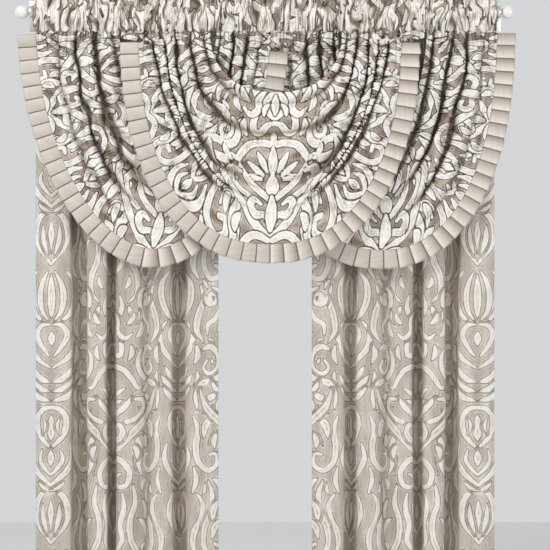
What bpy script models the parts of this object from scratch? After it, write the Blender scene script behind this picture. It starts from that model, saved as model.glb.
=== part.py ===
"""Swag drape with full-length curtains on a double curtain rod, as separate solids.

Three trimmed swags hang from gathered rod pockets that take turns along the front rod,
the middle swag in front. Two pleated curtain panels hang from the back rod.

Frame: metres, +Z up, +Y into the wall. The wall is the plane y = 0, the axis of the front
rod is at z = 0, and x = 0 is the middle of the window.
"""

import math
from collections import namedtuple

import bmesh
import bpy
from mathutils import Vector

# Rods and their brackets
FRONT_ROD_Y = -0.150
FRONT_ROD_RADIUS = 0.0125
BACK_ROD_Y = -0.065
BACK_ROD_RADIUS = 0.011
BACK_ROD_Z = -0.006
ROD_HALF_LENGTH = 0.8192
ROD_SIDES = 20
BRACKET_X = 0.8132
BRACKET_WIDTH = 0.012
RING_RADIUS = 0.0225
BACK_RING_RADIUS = 0.019
RING_SIDES = 20
ARM_HEIGHT = 0.016
PLATE_SIZE = (0.040, 0.008, 0.110)
SEAT_GAP = 0.0003
BORE_PLAY = 0.0006
BORE_CUTTER_LENGTH = 0.05
ARM_WIDTH = 0.0096
SMOOTH_BELOW = math.radians(40)

# Ball finials
BALL_RADIUS = 0.0248
BALL_X = 0.8462
NECK_RADIUS = 0.009
FINIAL_STEPS = 16
FINIAL_ARC_POINTS = 9

# Gathered rod-pocket headings of the swags
HEADING_GAP = 0.0010
HEADING_THICKNESS = 0.0016
GATHER_PITCH = 0.030
GATHER_SWAY = 2.1
GATHER_LEAST = 0.55
RUFFLE_DIP = 0.004
HEADING_END = 0.8060

# Swag cloth and its box-pleated trim
SWAG_TOP_Z = -0.0630
CLOTH_THICKNESS = 0.0020
DEPTH_RAMP = 0.085
RELIEF_RAMP = 0.075
BELLY = 0.010
SIDE_SHARE = 1.25
FLARE_START = 0.40
FLARE_END = 0.94
FLARE_POWER = 3
EDGE_STEPS = 1200
EDGE_TURN = 0.002
TRIM_WIDTH = 0.066
TRIM_THICKNESS = 0.0022
TRIM_GAP = 0.0014
PLEAT_PITCH = 0.0445
PLEAT_GROOVE = 0.0045
PLEAT_RELIEF = 0.0014
PLEAT_STEP = 0.0020

# Curtain panels
PANEL_FOOT_Z = -2.100
PANEL_STITCH_Z = -0.056
POCKET_TAIL = (0.0006, 0.008)
POCKET_RADIUS = 0.0136
POCKET_STEPS = 4
POCKET_GATHER = 0.002
STITCH_FORWARD = 0.004
STITCH_FOLDS = 0.14
STITCH_BLEND = 0.150
FOLDS_FULL_BELOW = 0.320

# Angles down each side of a swag, in radians from the heading to the lowest point
SWAG_ANGLES = (0.0, 0.022, 0.052, 0.09, 0.14, 0.20, 0.28, 0.37, 0.47, 0.58, 0.70,
               0.83, 0.97, 1.12, 1.27, 1.42, math.pi / 2)

# One line of a swag, a ridge or a trough, hanging between its two ends at the heading.
# drop is how far its lowest point hangs below the heading, squareness is the exponent of
# its curve, and the reliefs are how far it stands forward at the sides and at the bottom.
FoldLine = namedtuple("FoldLine", "left_x right_x drop squareness side low")

CENTRE_LINES = (
    FoldLine(-0.191, 0.268, 0.219, 2.30, 0.006, 0.004),
    FoldLine(-0.212, 0.285, 0.258, 2.30, -0.006, -0.004),
    FoldLine(-0.233, 0.303, 0.306, 2.30, 0.008, 0.006),
    FoldLine(-0.258, 0.320, 0.362, 2.30, -0.009, -0.006),
    FoldLine(-0.285, 0.341, 0.438, 2.25, 0.008, 0.006),
    FoldLine(-0.310, 0.362, 0.539, 2.20, -0.010, -0.003),
    FoldLine(-0.331, 0.379, 0.574, 2.05, 0.008, 0.001),
    FoldLine(-0.348, 0.397, 0.606, 1.90, -0.010, 0.000),
    FoldLine(-0.369, 0.414, 0.626, 1.80, 0.008, 0.001),
    FoldLine(-0.390, 0.432, 0.647, 1.70, -0.009, 0.000),
    FoldLine(-0.411, 0.449, 0.682, 1.95, 0.007, 0.003),
    FoldLine(-0.425, 0.459, 0.713, 2.15, 0.003, 0.002),
    FoldLine(-0.438, 0.473, 0.745, 2.30, 0.000, 0.000),
)
LEFT_LINES = (
    FoldLine(-0.508, -0.167, 0.209, 1.90, 0.004, 0.003),
    FoldLine(-0.532, -0.153, 0.278, 1.90, -0.006, -0.004),
    FoldLine(-0.557, -0.136, 0.383, 1.85, 0.008, 0.005),
    FoldLine(-0.595, -0.111, 0.557, 1.85, -0.012, -0.004),
    FoldLine(-0.630, -0.087, 0.599, 1.85, 0.009, 0.003),
    FoldLine(-0.661, -0.066, 0.640, 1.85, -0.011, -0.003),
    FoldLine(-0.693, -0.045, 0.675, 1.85, 0.008, 0.003),
    FoldLine(-0.724, -0.024, 0.699, 1.85, -0.005, -0.002),
    FoldLine(-0.759, -0.003, 0.727, 1.85, 0.004, 0.002),
    FoldLine(-0.797, 0.017, 0.760, 1.85, 0.000, 0.000),
)
RIGHT_LINES = (
    FoldLine(0.254, 0.564, 0.383, 1.75, 0.004, 0.003),
    FoldLine(0.238, 0.588, 0.522, 1.60, -0.010, -0.004),
    FoldLine(0.214, 0.619, 0.550, 1.65, 0.009, 0.003),
    FoldLine(0.188, 0.652, 0.585, 1.70, -0.012, -0.004),
    FoldLine(0.162, 0.679, 0.612, 1.75, 0.009, 0.003),
    FoldLine(0.138, 0.705, 0.661, 1.80, -0.011, -0.003),
    FoldLine(0.108, 0.734, 0.696, 1.90, 0.008, 0.003),
    FoldLine(0.076, 0.762, 0.720, 2.05, -0.004, -0.002),
    FoldLine(0.040, 0.783, 0.741, 2.15, 0.003, 0.002),
    FoldLine(0.000, 0.807, 0.764, 2.25, 0.000, 0.000),
)

# One end of a swag. plane is the y at which the cloth hangs, trim_top is how far below the
# heading the trim starts, and flare is how much further out the cloth above it reaches.
SwagEnd = namedtuple("SwagEnd", "plane trim_top flare")
Swag = namedtuple("Swag", "name lines left right")

SWAGS = (
    Swag("swag_left", LEFT_LINES, SwagEnd(-0.130, 0.014, 0.0), SwagEnd(-0.139, 0.070, 0.027)),
    Swag("swag_right", RIGHT_LINES, SwagEnd(-0.114, 0.070, -0.047), SwagEnd(-0.130, 0.008, 0.0)),
    Swag("swag_centre", CENTRE_LINES, SwagEnd(-0.173, 0.041, 0.062),
         SwagEnd(-0.173, 0.041, 0.082)),
)

# Where each heading ends along the front rod
Heading = namedtuple("Heading", "name left_x right_x")

HEADINGS = (
    Heading("heading_left_outer", -HEADING_END, -0.501),
    Heading("heading_centre_left", -0.501, -0.174),
    Heading("heading_left_inner", -0.174, 0.045),
    Heading("heading_right_inner", 0.045, 0.261),
    Heading("heading_centre_right", 0.261, 0.557),
    Heading("heading_right_outer", 0.557, HEADING_END),
)

# Section of a heading: height, half its depth, and how much a gather adds to that
PocketRow = namedtuple("PocketRow", "z half gather")

POCKET_ROWS = (
    PocketRow(0.0620, 0.0020, 0.0036),
    PocketRow(0.0222, 0.0020, 0.0008),
    PocketRow(0.0050, 0.0131, 0.0030),
    PocketRow(-0.0220, 0.0160, 0.0050),
    PocketRow(-0.0612, 0.0020, 0.0010),
)

# Section of the left curtain panel from its outer to its inner edge: x, how far the cloth
# stands forward of the rod's plane, and how far that place drifts in x down to the foot
PanelFold = namedtuple("PanelFold", "x forward drift")

PANEL_FOLDS = (
    PanelFold(-0.8050, 0.004, 0.000),
    PanelFold(-0.7760, 0.016, 0.000),
    PanelFold(-0.7200, 0.018, 0.000),
    PanelFold(-0.6850, 0.010, 0.002),
    PanelFold(-0.6760, -0.022, 0.004),
    PanelFold(-0.6380, -0.026, 0.004),
    PanelFold(-0.6250, 0.008, 0.003),
    PanelFold(-0.5900, 0.020, 0.002),
    PanelFold(-0.5600, 0.010, 0.000),
    PanelFold(-0.5500, -0.022, -0.002),
    PanelFold(-0.5240, -0.026, -0.002),
    PanelFold(-0.5160, 0.012, 0.000),
    PanelFold(-0.4850, 0.021, 0.001),
    PanelFold(-0.4560, 0.009, 0.002),
    PanelFold(-0.4250, -0.014, 0.004),
    PanelFold(-0.3960, 0.006, 0.004),
    PanelFold(-0.3620, 0.019, 0.004),
    PanelFold(-0.3330, 0.008, 0.006),
    PanelFold(-0.3220, -0.022, 0.008),
    PanelFold(-0.2900, -0.020, 0.010),
    PanelFold(-0.2760, 0.010, 0.007),
    PanelFold(-0.2430, 0.018, 0.004),
    PanelFold(-0.2090, 0.006, 0.001),
    PanelFold(-0.1640, 0.003, 0.000),
)

PANEL_ROW_HEIGHTS = (PANEL_FOOT_Z, -1.600, -1.100, -0.700, -0.450, -0.280, -0.150,
                     PANEL_STITCH_Z)


def clear_scene():
    for obj in list(bpy.data.objects):
        bpy.data.objects.remove(obj, do_unlink=True)


def make_collection(name):
    collection = bpy.data.collections.new(name)
    bpy.context.scene.collection.children.link(collection)
    return collection


def make_material(name, colour, roughness, metallic=0.0):
    material = bpy.data.materials.new(name)
    material.use_nodes = True
    shader = material.node_tree.nodes["Principled BSDF"]
    shader.inputs["Base Color"].default_value = (*colour, 1.0)
    shader.inputs["Roughness"].default_value = roughness
    shader.inputs["Metallic"].default_value = metallic
    return material


def ease(value):
    """0 below 0, 1 above 1 and a smooth rise between."""
    value = min(max(value, 0.0), 1.0)
    return value * value * (3.0 - 2.0 * value)


def between(start, end, share):
    return start + (end - start) * share


def add_object(name, mesh, collection, parent, material):
    mesh.materials.append(material)
    obj = bpy.data.objects.new(name, mesh)
    collection.objects.link(obj)
    obj.parent = parent
    return obj


def add_sheet(name, columns, rows, place, thickness, setting, material, closed=False):
    """A cloth sheet with a thickness, on a grid of columns by rows points. place(column, row)
    is where each point goes, and closed joins the last column to the first."""
    across = columns + 1 if closed else columns
    shape = bmesh.new()
    bmesh.ops.create_grid(shape, x_segments=across - 1, y_segments=rows - 1, size=0.5)
    for vertex in shape.verts:
        column = round((vertex.co.x + 0.5) * (across - 1))
        row = round((vertex.co.y + 0.5) * (rows - 1))
        vertex.co = place(column % columns, row)
    if closed:
        bmesh.ops.remove_doubles(shape, verts=shape.verts, dist=1e-6)
    mesh = bpy.data.meshes.new(name)
    shape.to_mesh(mesh)
    shape.free()
    mesh.shade_smooth()
    obj = add_object(name, mesh, setting.collection, setting.parent, material)
    solidify = obj.modifiers.new("cloth thickness", "SOLIDIFY")
    solidify.thickness = thickness
    solidify.offset = 0.0
    solidify.use_even_offset = True
    return obj


class SwagSurface:
    """The hanging surface of one swag, read by its cloth and its trim."""

    def __init__(self, swag):
        self.swag = swag
        self.lines = swag.lines

    def fall(self, line, angle):
        """Where a fold line is at an angle of 0 to pi: (x, distance below the heading)."""
        side = math.cos(angle)
        down = math.sin(angle)
        power = line.squareness
        reach = (abs(side) ** power + abs(down) ** power) ** (-1.0 / power)
        middle = (line.left_x + line.right_x) / 2
        half = (line.right_x - line.left_x) / 2
        return middle - half * side * reach, line.drop * down * reach

    def depth(self, x, drop):
        """The y of the smooth cloth, without its folds."""
        edge = self.lines[-1]
        share = (x - edge.left_x) / (edge.right_x - edge.left_x)
        plane = between(self.swag.left.plane, self.swag.right.plane, ease(share))
        belly = BELLY * math.sin(math.pi * ease(share)) * ease(drop / edge.drop)
        return between(FRONT_ROD_Y, plane, ease(drop / DEPTH_RAMP)) - belly

    def flare(self, share, angle, drop):
        """How far the cloth beside the trim's top moves out to the heading's end."""
        end = self.swag.left if angle < math.pi / 2 else self.swag.right
        outward = -1.0 if angle < math.pi / 2 else 1.0
        fade = (drop / end.trim_top - FLARE_START) / (FLARE_END - FLARE_START)
        height = 1.0 - ease(fade)
        return outward * end.flare * share ** FLARE_POWER * height

    def point(self, row, angle):
        """A point of the cloth on one fold line."""
        line = self.lines[row]
        x, drop = self.fall(line, angle)
        side = abs(math.cos(angle))
        relief = between(line.low, line.side, ease(side * SIDE_SHARE))
        relief *= ease(drop / RELIEF_RAMP)
        y = self.depth(x, drop) - relief
        x += self.flare(row / (len(self.lines) - 1), angle, drop)
        return Vector((x, y, SWAG_TOP_Z - drop))

    def edge_walk(self):
        """The cloth's outer edge from trim top to trim top: (distance along it, angle)."""
        walk = []
        along = 0.0
        last = None
        for step in range(EDGE_STEPS + 1):
            angle = math.pi * step / EDGE_STEPS
            x, drop = self.fall(self.lines[-1], angle)
            end = self.swag.left if angle < math.pi / 2 else self.swag.right
            if drop < end.trim_top:
                continue
            here = Vector((x, drop))
            along += (here - last).length if last is not None else 0.0
            last = here
            walk.append((along, angle))
        return walk

    def edge_point(self, angle, outward):
        """A point that lies outward of the cloth's edge, square to it."""
        before = self.fall(self.lines[-1], max(angle - EDGE_TURN, 0.0))
        after = self.fall(self.lines[-1], min(angle + EDGE_TURN, math.pi))
        run = Vector((after[0] - before[0], -(after[1] - before[1]))).normalized()
        x, drop = self.fall(self.lines[-1], angle)
        y = self.depth(x, drop)
        return Vector((x + run.y * outward, y, SWAG_TOP_Z - drop - run.x * outward))


def angle_at(walk, distance):
    """The angle at a distance along the edge walk."""
    for (near, low), (far, high) in zip(walk, walk[1:]):
        if far >= distance:
            return between(low, high, (distance - near) / max(far - near, 1e-9))
    return walk[-1][1]


def build_swag(swag, setting, material):
    surface = SwagSurface(swag)
    angles = list(SWAG_ANGLES) + [math.pi - angle for angle in reversed(SWAG_ANGLES[:-1])]

    def place(column, row):
        return surface.point(row, angles[column])

    return add_sheet(swag.name, len(angles), len(swag.lines), place, CLOTH_THICKNESS,
                     setting, material)


def build_trim(swag, setting, material):
    """A strip of box pleats round a swag's edge, each a flat face with a narrow groove."""
    surface = SwagSurface(swag)
    walk = surface.edge_walk()
    length = walk[-1][0]
    pleats = round(length / PLEAT_PITCH)
    pitch = length / pleats
    stations = []
    for pleat in range(pleats):
        start = pleat * pitch
        stations.append((start + PLEAT_GROOVE / 2, PLEAT_RELIEF, 0.0))
        stations.append((start + pitch - PLEAT_GROOVE / 2, PLEAT_RELIEF, PLEAT_STEP))
        if pleat < pleats - 1:
            stations.append((start + pitch, -PLEAT_RELIEF, -PLEAT_STEP))

    def place(column, row):
        distance, relief, step = stations[column]
        outward = TRIM_GAP if row == 0 else TRIM_WIDTH + step
        point = surface.edge_point(angle_at(walk, distance), outward)
        point.y -= relief
        return point

    name = swag.name.replace("swag", "trim")
    return add_sheet(name, len(stations), 2, place, TRIM_THICKNESS, setting, material)


def build_heading(heading, setting, material):
    """A gathered sleeve round the front rod, with its ruffle standing above the stitching."""
    left = heading.left_x + HEADING_GAP / 2
    right = heading.right_x - HEADING_GAP / 2
    gathers = max(2, round((right - left) / GATHER_PITCH))
    columns = 2 * gathers + 1
    ring = [(row, -1.0) for row in POCKET_ROWS] + [(row, 1.0) for row in reversed(POCKET_ROWS)]

    def place(column, row):
        pocket, side = ring[column]
        x = between(left, right, row / (columns - 1))
        sway = 0.5 + 0.5 * math.sin(row * GATHER_SWAY + x / GATHER_PITCH)
        raised = row % 2
        gather = pocket.gather * raised * between(GATHER_LEAST, 1.0, sway)
        dip = RUFFLE_DIP * sway * raised if pocket is POCKET_ROWS[0] else 0.0
        return Vector((x, FRONT_ROD_Y + side * (pocket.half + gather), pocket.z - dip))

    return add_sheet(heading.name, len(ring), columns, place, HEADING_THICKNESS, setting,
                     material, closed=True)


def panel_rows():
    """The rows of a panel up from its foot: (height, y from the rod, share of the folds).
    The pocket's rows, over the rod and down to the stitching behind it, take no folds."""
    rows = []
    for height in PANEL_ROW_HEIGHTS:
        below = PANEL_STITCH_Z - height
        share = between(STITCH_FOLDS, 1.0, ease(below / FOLDS_FULL_BELOW))
        rows.append((height, -STITCH_FORWARD * (1.0 - ease(below / STITCH_BLEND)), share))
    for step in range(POCKET_STEPS + 1):
        turn = math.pi * step / POCKET_STEPS
        rows.append((BACK_ROD_Z + POCKET_RADIUS * math.sin(turn),
                     -POCKET_RADIUS * math.cos(turn), 0.0))
    rows.append((PANEL_STITCH_Z + POCKET_TAIL[1], POCKET_TAIL[0], 0.0))
    return rows


def build_panel(name, mirror, setting, material):
    """A curtain panel: one sheet from its foot up over the back rod and down to the stitching."""
    rows = panel_rows()
    stitch_row = len(PANEL_ROW_HEIGHTS) - 1
    deepest = min(fold.forward for fold in PANEL_FOLDS)
    tallest = max(fold.forward for fold in PANEL_FOLDS)

    def place(column, row):
        height, offset, share = rows[row]
        fold = PANEL_FOLDS[column]
        down = ease((PANEL_STITCH_Z - height) / (PANEL_STITCH_Z - PANEL_FOOT_Z))
        x = fold.x + fold.drift * down
        if row >= stitch_row:
            gather = POCKET_GATHER * (fold.forward - deepest) / (tallest - deepest)
            y = BACK_ROD_Y + offset + math.copysign(gather, offset)
        else:
            y = BACK_ROD_Y + offset - fold.forward * share
        return Vector((x * mirror, y, height))

    return add_sheet(name, len(PANEL_FOLDS), len(rows), place, CLOTH_THICKNESS, setting,
                     material)


def build_rod(name, y, z, radius, setting, material):
    bpy.ops.mesh.primitive_cylinder_add(
        vertices=ROD_SIDES, radius=radius, depth=2 * ROD_HALF_LENGTH,
        location=(0.0, y, z), rotation=(0.0, math.pi / 2, 0.0))
    return adopt(bpy.context.object, name, setting, material)


def adopt(obj, name, setting, material):
    """Names a primitive, gives it its material and moves it to the part's collection."""
    obj.name = name
    obj.data.name = name
    obj.data.materials.append(material)
    for collection in list(obj.users_collection):
        collection.objects.unlink(obj)
    setting.collection.objects.link(obj)
    obj.parent = setting.parent
    obj.data.shade_smooth()
    obj.data.set_sharp_from_angle(angle=SMOOTH_BELOW)
    return obj


def build_finial(name, side, setting, material):
    """A ball on a short neck, turned round the rod's axis."""
    profile = bmesh.new()
    neck_end = BALL_X - ROD_HALF_LENGTH - SEAT_GAP
    start = math.asin(NECK_RADIUS / BALL_RADIUS)
    points = [(0.0, neck_end), (NECK_RADIUS, neck_end)]
    for step in range(FINIAL_ARC_POINTS):
        turn = between(start, math.pi, step / (FINIAL_ARC_POINTS - 1))
        points.append((BALL_RADIUS * math.sin(turn), BALL_RADIUS * math.cos(turn)))
    points[-1] = (0.0, -BALL_RADIUS)
    last = None
    for radius, height in points:
        vertex = profile.verts.new((radius, 0.0, height))
        if last is not None:
            profile.edges.new((last, vertex))
        last = vertex
    mesh = bpy.data.meshes.new(name)
    profile.to_mesh(mesh)
    profile.free()
    obj = add_object(name, mesh, setting.collection, setting.parent, material)
    turned = obj.modifiers.new("turned round the axis", "SCREW")
    turned.steps = FINIAL_STEPS
    turned.render_steps = FINIAL_STEPS
    turned.use_merge_vertices = True
    turned.merge_threshold = 0.0001
    turned.use_smooth_shade = True
    obj.location = (side * BALL_X, FRONT_ROD_Y, 0.0)
    obj.rotation_euler = (0.0, -side * math.pi / 2, 0.0)
    return obj


def add_block(name, size, location, collection):
    bpy.ops.mesh.primitive_cube_add(size=1.0, location=location)
    block = bpy.context.object
    block.name = name
    block.scale = size
    bpy.ops.object.transform_apply(location=False, rotation=False, scale=True)
    move_to(block, collection)
    return block


def add_ring(name, radius, depth, location, collection):
    bpy.ops.mesh.primitive_cylinder_add(
        vertices=RING_SIDES, radius=radius, depth=depth, location=location,
        rotation=(0.0, math.pi / 2, 0.0))
    ring = bpy.context.object
    ring.name = name
    move_to(ring, collection)
    return ring


def move_to(obj, collection):
    for other in list(obj.users_collection):
        other.objects.unlink(obj)
    collection.objects.link(obj)
    obj.hide_render = True
    obj.display_type = "WIRE"


def build_bracket(name, side, setting, helpers, material):
    """A wall plate with one arm that ends in a ring round each rod."""
    x = side * BRACKET_X
    plate = add_block(name, PLATE_SIZE, (x, -PLATE_SIZE[1] / 2, 0.0), helpers)
    arm_start = -PLATE_SIZE[1] / 2
    arm = add_block(name + "_arm", (ARM_WIDTH, arm_start - FRONT_ROD_Y, ARM_HEIGHT),
                    (x, (arm_start + FRONT_ROD_Y) / 2, 0.0), helpers)
    front = (x, FRONT_ROD_Y, 0.0)
    back = (x, BACK_ROD_Y, BACK_ROD_Z)
    joined = (
        arm,
        add_ring(name + "_front_ring", RING_RADIUS, BRACKET_WIDTH, front, helpers),
        add_ring(name + "_back_ring", BACK_RING_RADIUS, BRACKET_WIDTH, back, helpers),
    )
    cut = (
        add_ring(name + "_front_bore", FRONT_ROD_RADIUS + BORE_PLAY, BORE_CUTTER_LENGTH, front,
                 helpers),
        add_ring(name + "_back_bore", BACK_ROD_RADIUS + BORE_PLAY, BORE_CUTTER_LENGTH, back,
                 helpers),
    )
    helpers.objects.unlink(plate)
    setting.collection.objects.link(plate)
    plate.hide_render = False
    plate.display_type = "TEXTURED"
    plate.parent = setting.parent
    plate.data.materials.append(material)
    for operation, tools in (("UNION", joined), ("DIFFERENCE", cut)):
        for tool in tools:
            boolean = plate.modifiers.new(tool.name, "BOOLEAN")
            boolean.operation = operation
            boolean.object = tool
    return plate


def main():
    clear_scene()
    Setting = namedtuple("Setting", "collection parent")
    collection = make_collection("swag_and_curtain_set")
    helpers = make_collection("shaping_helpers")
    wall_line = bpy.data.objects.new("wall_line", None)
    collection.objects.link(wall_line)
    setting = Setting(collection, wall_line)

    swag_cloth = make_material("ivory figured cloth", (0.74, 0.70, 0.64), 0.55)
    panel_cloth = make_material("greige figured cloth", (0.66, 0.61, 0.55), 0.60)
    trim_cloth = make_material("champagne satin", (0.68, 0.61, 0.53), 0.45)
    ball_finish = make_material("pearl lacquer", (0.86, 0.84, 0.81), 0.25)
    rod_finish = make_material("brushed nickel", (0.72, 0.71, 0.69), 0.35, 1.0)

    build_rod("rod_front", FRONT_ROD_Y, 0.0, FRONT_ROD_RADIUS, setting, rod_finish)
    build_rod("rod_back", BACK_ROD_Y, BACK_ROD_Z, BACK_ROD_RADIUS, setting, rod_finish)
    for name, side in (("left", -1.0), ("right", 1.0)):
        build_finial("finial_" + name, side, setting, ball_finish)
        build_bracket("bracket_" + name, side, setting, helpers, rod_finish)
        build_panel("panel_" + name, -side, setting, panel_cloth)
    for heading in HEADINGS:
        build_heading(heading, setting, swag_cloth)
    for swag in SWAGS:
        build_swag(swag, setting, swag_cloth)
        build_trim(swag, setting, trim_cloth)


main()
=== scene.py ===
"""Looks of a swag drape with a pair of long curtains on a double rod.

Every piece of cloth is a fine sheet laid on the folds of its plain solid. One ornament, drawn
here from a table of strokes, is sampled on the flat cloth and carried to each point of it, so
scrolls, leaves and outlines bend with the folds. Metres, +Z up, the wall is the plane y = 0.
"""

from __future__ import annotations

import logging
import math
from dataclasses import dataclass, field
from enum import Enum
from typing import NamedTuple

import bmesh
import bpy
import numpy as np
from bpy.types import Material, Mesh, Node, NodeSocket, Object
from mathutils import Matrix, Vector

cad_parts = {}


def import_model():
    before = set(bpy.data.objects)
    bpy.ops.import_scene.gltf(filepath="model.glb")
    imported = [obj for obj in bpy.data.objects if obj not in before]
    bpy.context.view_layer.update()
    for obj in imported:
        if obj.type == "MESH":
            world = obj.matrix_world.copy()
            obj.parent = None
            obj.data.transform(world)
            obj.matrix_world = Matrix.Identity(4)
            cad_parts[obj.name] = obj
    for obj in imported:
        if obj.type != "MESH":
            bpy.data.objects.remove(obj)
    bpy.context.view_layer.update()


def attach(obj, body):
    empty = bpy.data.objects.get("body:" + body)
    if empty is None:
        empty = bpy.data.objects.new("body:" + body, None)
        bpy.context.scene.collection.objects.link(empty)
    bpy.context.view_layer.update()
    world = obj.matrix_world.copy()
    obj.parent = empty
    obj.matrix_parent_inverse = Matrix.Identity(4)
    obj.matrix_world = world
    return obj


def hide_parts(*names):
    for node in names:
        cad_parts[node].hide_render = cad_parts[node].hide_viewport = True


LOG = logging.getLogger("drape")
BODY = "root"
MILLIMETRE = 0.001
WELD = 1e-6
TINY = 1e-12
Grid = np.ndarray
Amount = Grid | float
Pair = tuple[float, float]
Triple = tuple[float, float, float]
Feed = NodeSocket | float | tuple
SOFT_NOISE = 2.0
FINE_NOISE = 3.0
FINEST_NOISE = 4.0


class Side(Enum):
    """An end of the rods, as seen from the room."""

    LEFT = -1
    RIGHT = 1


def ease(value: Amount) -> Amount:
    """0 below 0, 1 above 1 and a smooth rise between."""
    value = np.clip(value, 0.0, 1.0)
    return value * value * (3.0 - 2.0 * value)


def between(start: Amount, end: Amount, share: Amount) -> Amount:
    """The value at a share of the way from start to end."""
    return start + (end - start) * share


def through(table: Grid, place: Grid) -> Grid:
    """A smooth curve through the rows of a table.

    Args:
        table: One row of values for each whole number.
        place: Fractional row numbers.

    Returns:
        The values at each place, with the table's columns last.
    """
    table = np.asarray(table, float)
    padded = np.vstack((2 * table[0] - table[1], table, 2 * table[-1] - table[-2]))
    row = np.clip(np.floor(place).astype(int), 0, len(table) - 2)
    part = (place - row)[..., None]
    before, start, end, after = (padded[row + step] for step in range(4))
    return start + 0.5 * part * (
        end - before
        + part * (2 * before - 5 * start + 4 * end - after
                  + part * (3 * (start - end) + after - before)))


def normals_of(points: Grid) -> Grid:
    """Unit normals of a grid of points, turned towards the room."""
    normal = np.cross(np.gradient(points, axis=1), np.gradient(points, axis=0))
    normal = normal / np.maximum(np.linalg.norm(normal, axis=2, keepdims=True), TINY)
    return np.where(normal[..., 1:2] > 0, -normal, normal)


def placed(name: str, data: bpy.types.ID) -> Object:
    """A new object in the scene."""
    made = bpy.data.objects.new(name, data)
    bpy.context.scene.collection.objects.link(made)
    return made


def together(*grids: Amount) -> Grid:
    """Grids side by side along a new last axis."""
    return np.stack(np.broadcast_arrays(*grids), axis=-1)


def running(line: Grid) -> Grid:
    """Running length along one line of points, from 0."""
    return np.pad(np.cumsum(np.linalg.norm(np.diff(line, axis=0), axis=1)), (1, 0))


def distances(points: Grid, axis: int) -> Grid:
    """Running length along one axis of a grid of points, from 0.

    Args:
        points: The grid.
        axis: 0 to run down it, 1 to run across.

    Returns:
        The lengths, in metres.
    """
    steps = np.linalg.norm(np.diff(points, axis=axis), axis=2)
    pad = [(0, 0), (0, 0)]
    pad[axis] = (1, 0)
    return np.pad(np.cumsum(steps, axis=axis), pad)


SPLINE_SAMPLES = 24
LEAST_HALF_WIDTH = 0.3
CURL_STEPS = 9
CURL_EYE = 0.30
CURL_TIGHTNESS = 0.8
CURL_WIDTHS = (0.5, 1.0, 0.85, 0.8, 1.15)
LEAF_STALK = 1.5
LEAF_BELLY = (0.75, 1.0, 0.72)
LEAF_TIP = 1.0


@dataclass(frozen=True)
class Waves:
    """Smooth uneven waves over a surface.

    size is what they mostly stay within, either way. length_u and length_v are the mean
    wavelengths along the surface's two directions, in metres, and count is how many are summed.
    """

    size: float
    length_u: float
    length_v: float
    count: int = 7
    spread: Pair = (0.6, 1.5)
    slant: Pair = (-1.3, 1.3)

    def at(self, seed: int, u: Grid, v: Amount) -> Grid:
        """How high the waves stand.

        Args:
            seed: Starts the draw of the waves.
            u: Places along the first direction, in metres.
            v: Places along the second direction, in metres.

        Returns:
            Values that mostly lie between -size and size.
        """
        draw = np.random.default_rng(seed)
        total = np.zeros(np.broadcast(u, v).shape)
        for _ in range(self.count):
            turn_u = 2 * math.pi / self.length_u * draw.uniform(*self.spread)
            turn_v = 2 * math.pi / self.length_v * draw.uniform(*self.slant)
            total = total + np.sin(turn_u * u + turn_v * v + draw.uniform(0, 2 * math.pi))
        return self.size * (total / math.sqrt(2 * self.count))


@dataclass(frozen=True)
class Stroke:
    """One band of the woven figure, drawn on the flat cloth in millimetres.

    points are (across, down), across from the bulb axis and down from the bulb's top.
    widths are the band's full widths at equal shares of its length.
    """

    points: tuple[Pair, ...]
    widths: tuple[float, ...]

    def spine(self, spacing: float) -> tuple[Grid, Grid]:
        """The band's middle line and half widths, in metres.

        Args:
            spacing: Distance between the points returned, in millimetres.

        Returns:
            Points (across, down) and the half width at each.
        """
        corners = np.array(self.points, float)
        samples = SPLINE_SAMPLES * len(corners)
        fine = through(corners, np.linspace(0, len(corners) - 1, samples))
        run = running(fine)
        count = max(2, int(run[-1] / spacing) + 2)
        even = np.linspace(0, run[-1], count)
        line = np.stack([np.interp(even, run, fine[:, side]) for side in range(2)], axis=1)
        knots = np.linspace(0, len(self.widths) - 1, count)
        half = through(np.array(self.widths, float)[:, None], knots)[:, 0] / 2
        return line * MILLIMETRE, np.maximum(half, LEAST_HALF_WIDTH) * MILLIMETRE


def curl(across: float, down: float, radius: float, start: float, turns: float,
         width: float) -> Stroke:
    """A volute that winds in from its rim.

    Args:
        across: Centre, from the bulb axis.
        down: Centre, from the bulb's top.
        radius: Radius at the outer end.
        start: Angle of the outer end in degrees, 0 to the right and 90 downwards.
        turns: Turns to the inner end, negative for the other hand.
        width: Full width of the band at the outer end.

    Returns:
        The stroke, which swells to a round eye.
    """
    steps = max(4, round(abs(turns) * CURL_STEPS))
    points = []
    for step in range(steps + 1):
        share = step / steps
        angle = math.radians(start + 360 * turns * share)
        reach = radius * between(1.0, CURL_EYE, share ** CURL_TIGHTNESS)
        points.append((across + reach * math.cos(angle), down + reach * math.sin(angle)))
    return Stroke(tuple(points), tuple(width * share for share in CURL_WIDTHS))


def leaf(start: Pair, end: Pair, bow: float, width: float) -> Stroke:
    """A leaf from its stalk to its tip.

    Args:
        start: The stalk.
        end: The tip.
        bow: How far the middle is pushed to the left of the way from stalk to tip.
        width: Full width at the belly.

    Returns:
        The stroke, pointed at both ends.
    """
    run = (end[0] - start[0], end[1] - start[1])
    length = math.hypot(*run)
    middle = (start[0] + run[0] / 2 + bow * run[1] / length,
              start[1] + run[1] / 2 - bow * run[0] / length)
    belly = tuple(width * share for share in LEAF_BELLY)
    return Stroke((start, middle, end), (LEAF_STALK, *belly, LEAF_TIP))


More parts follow.
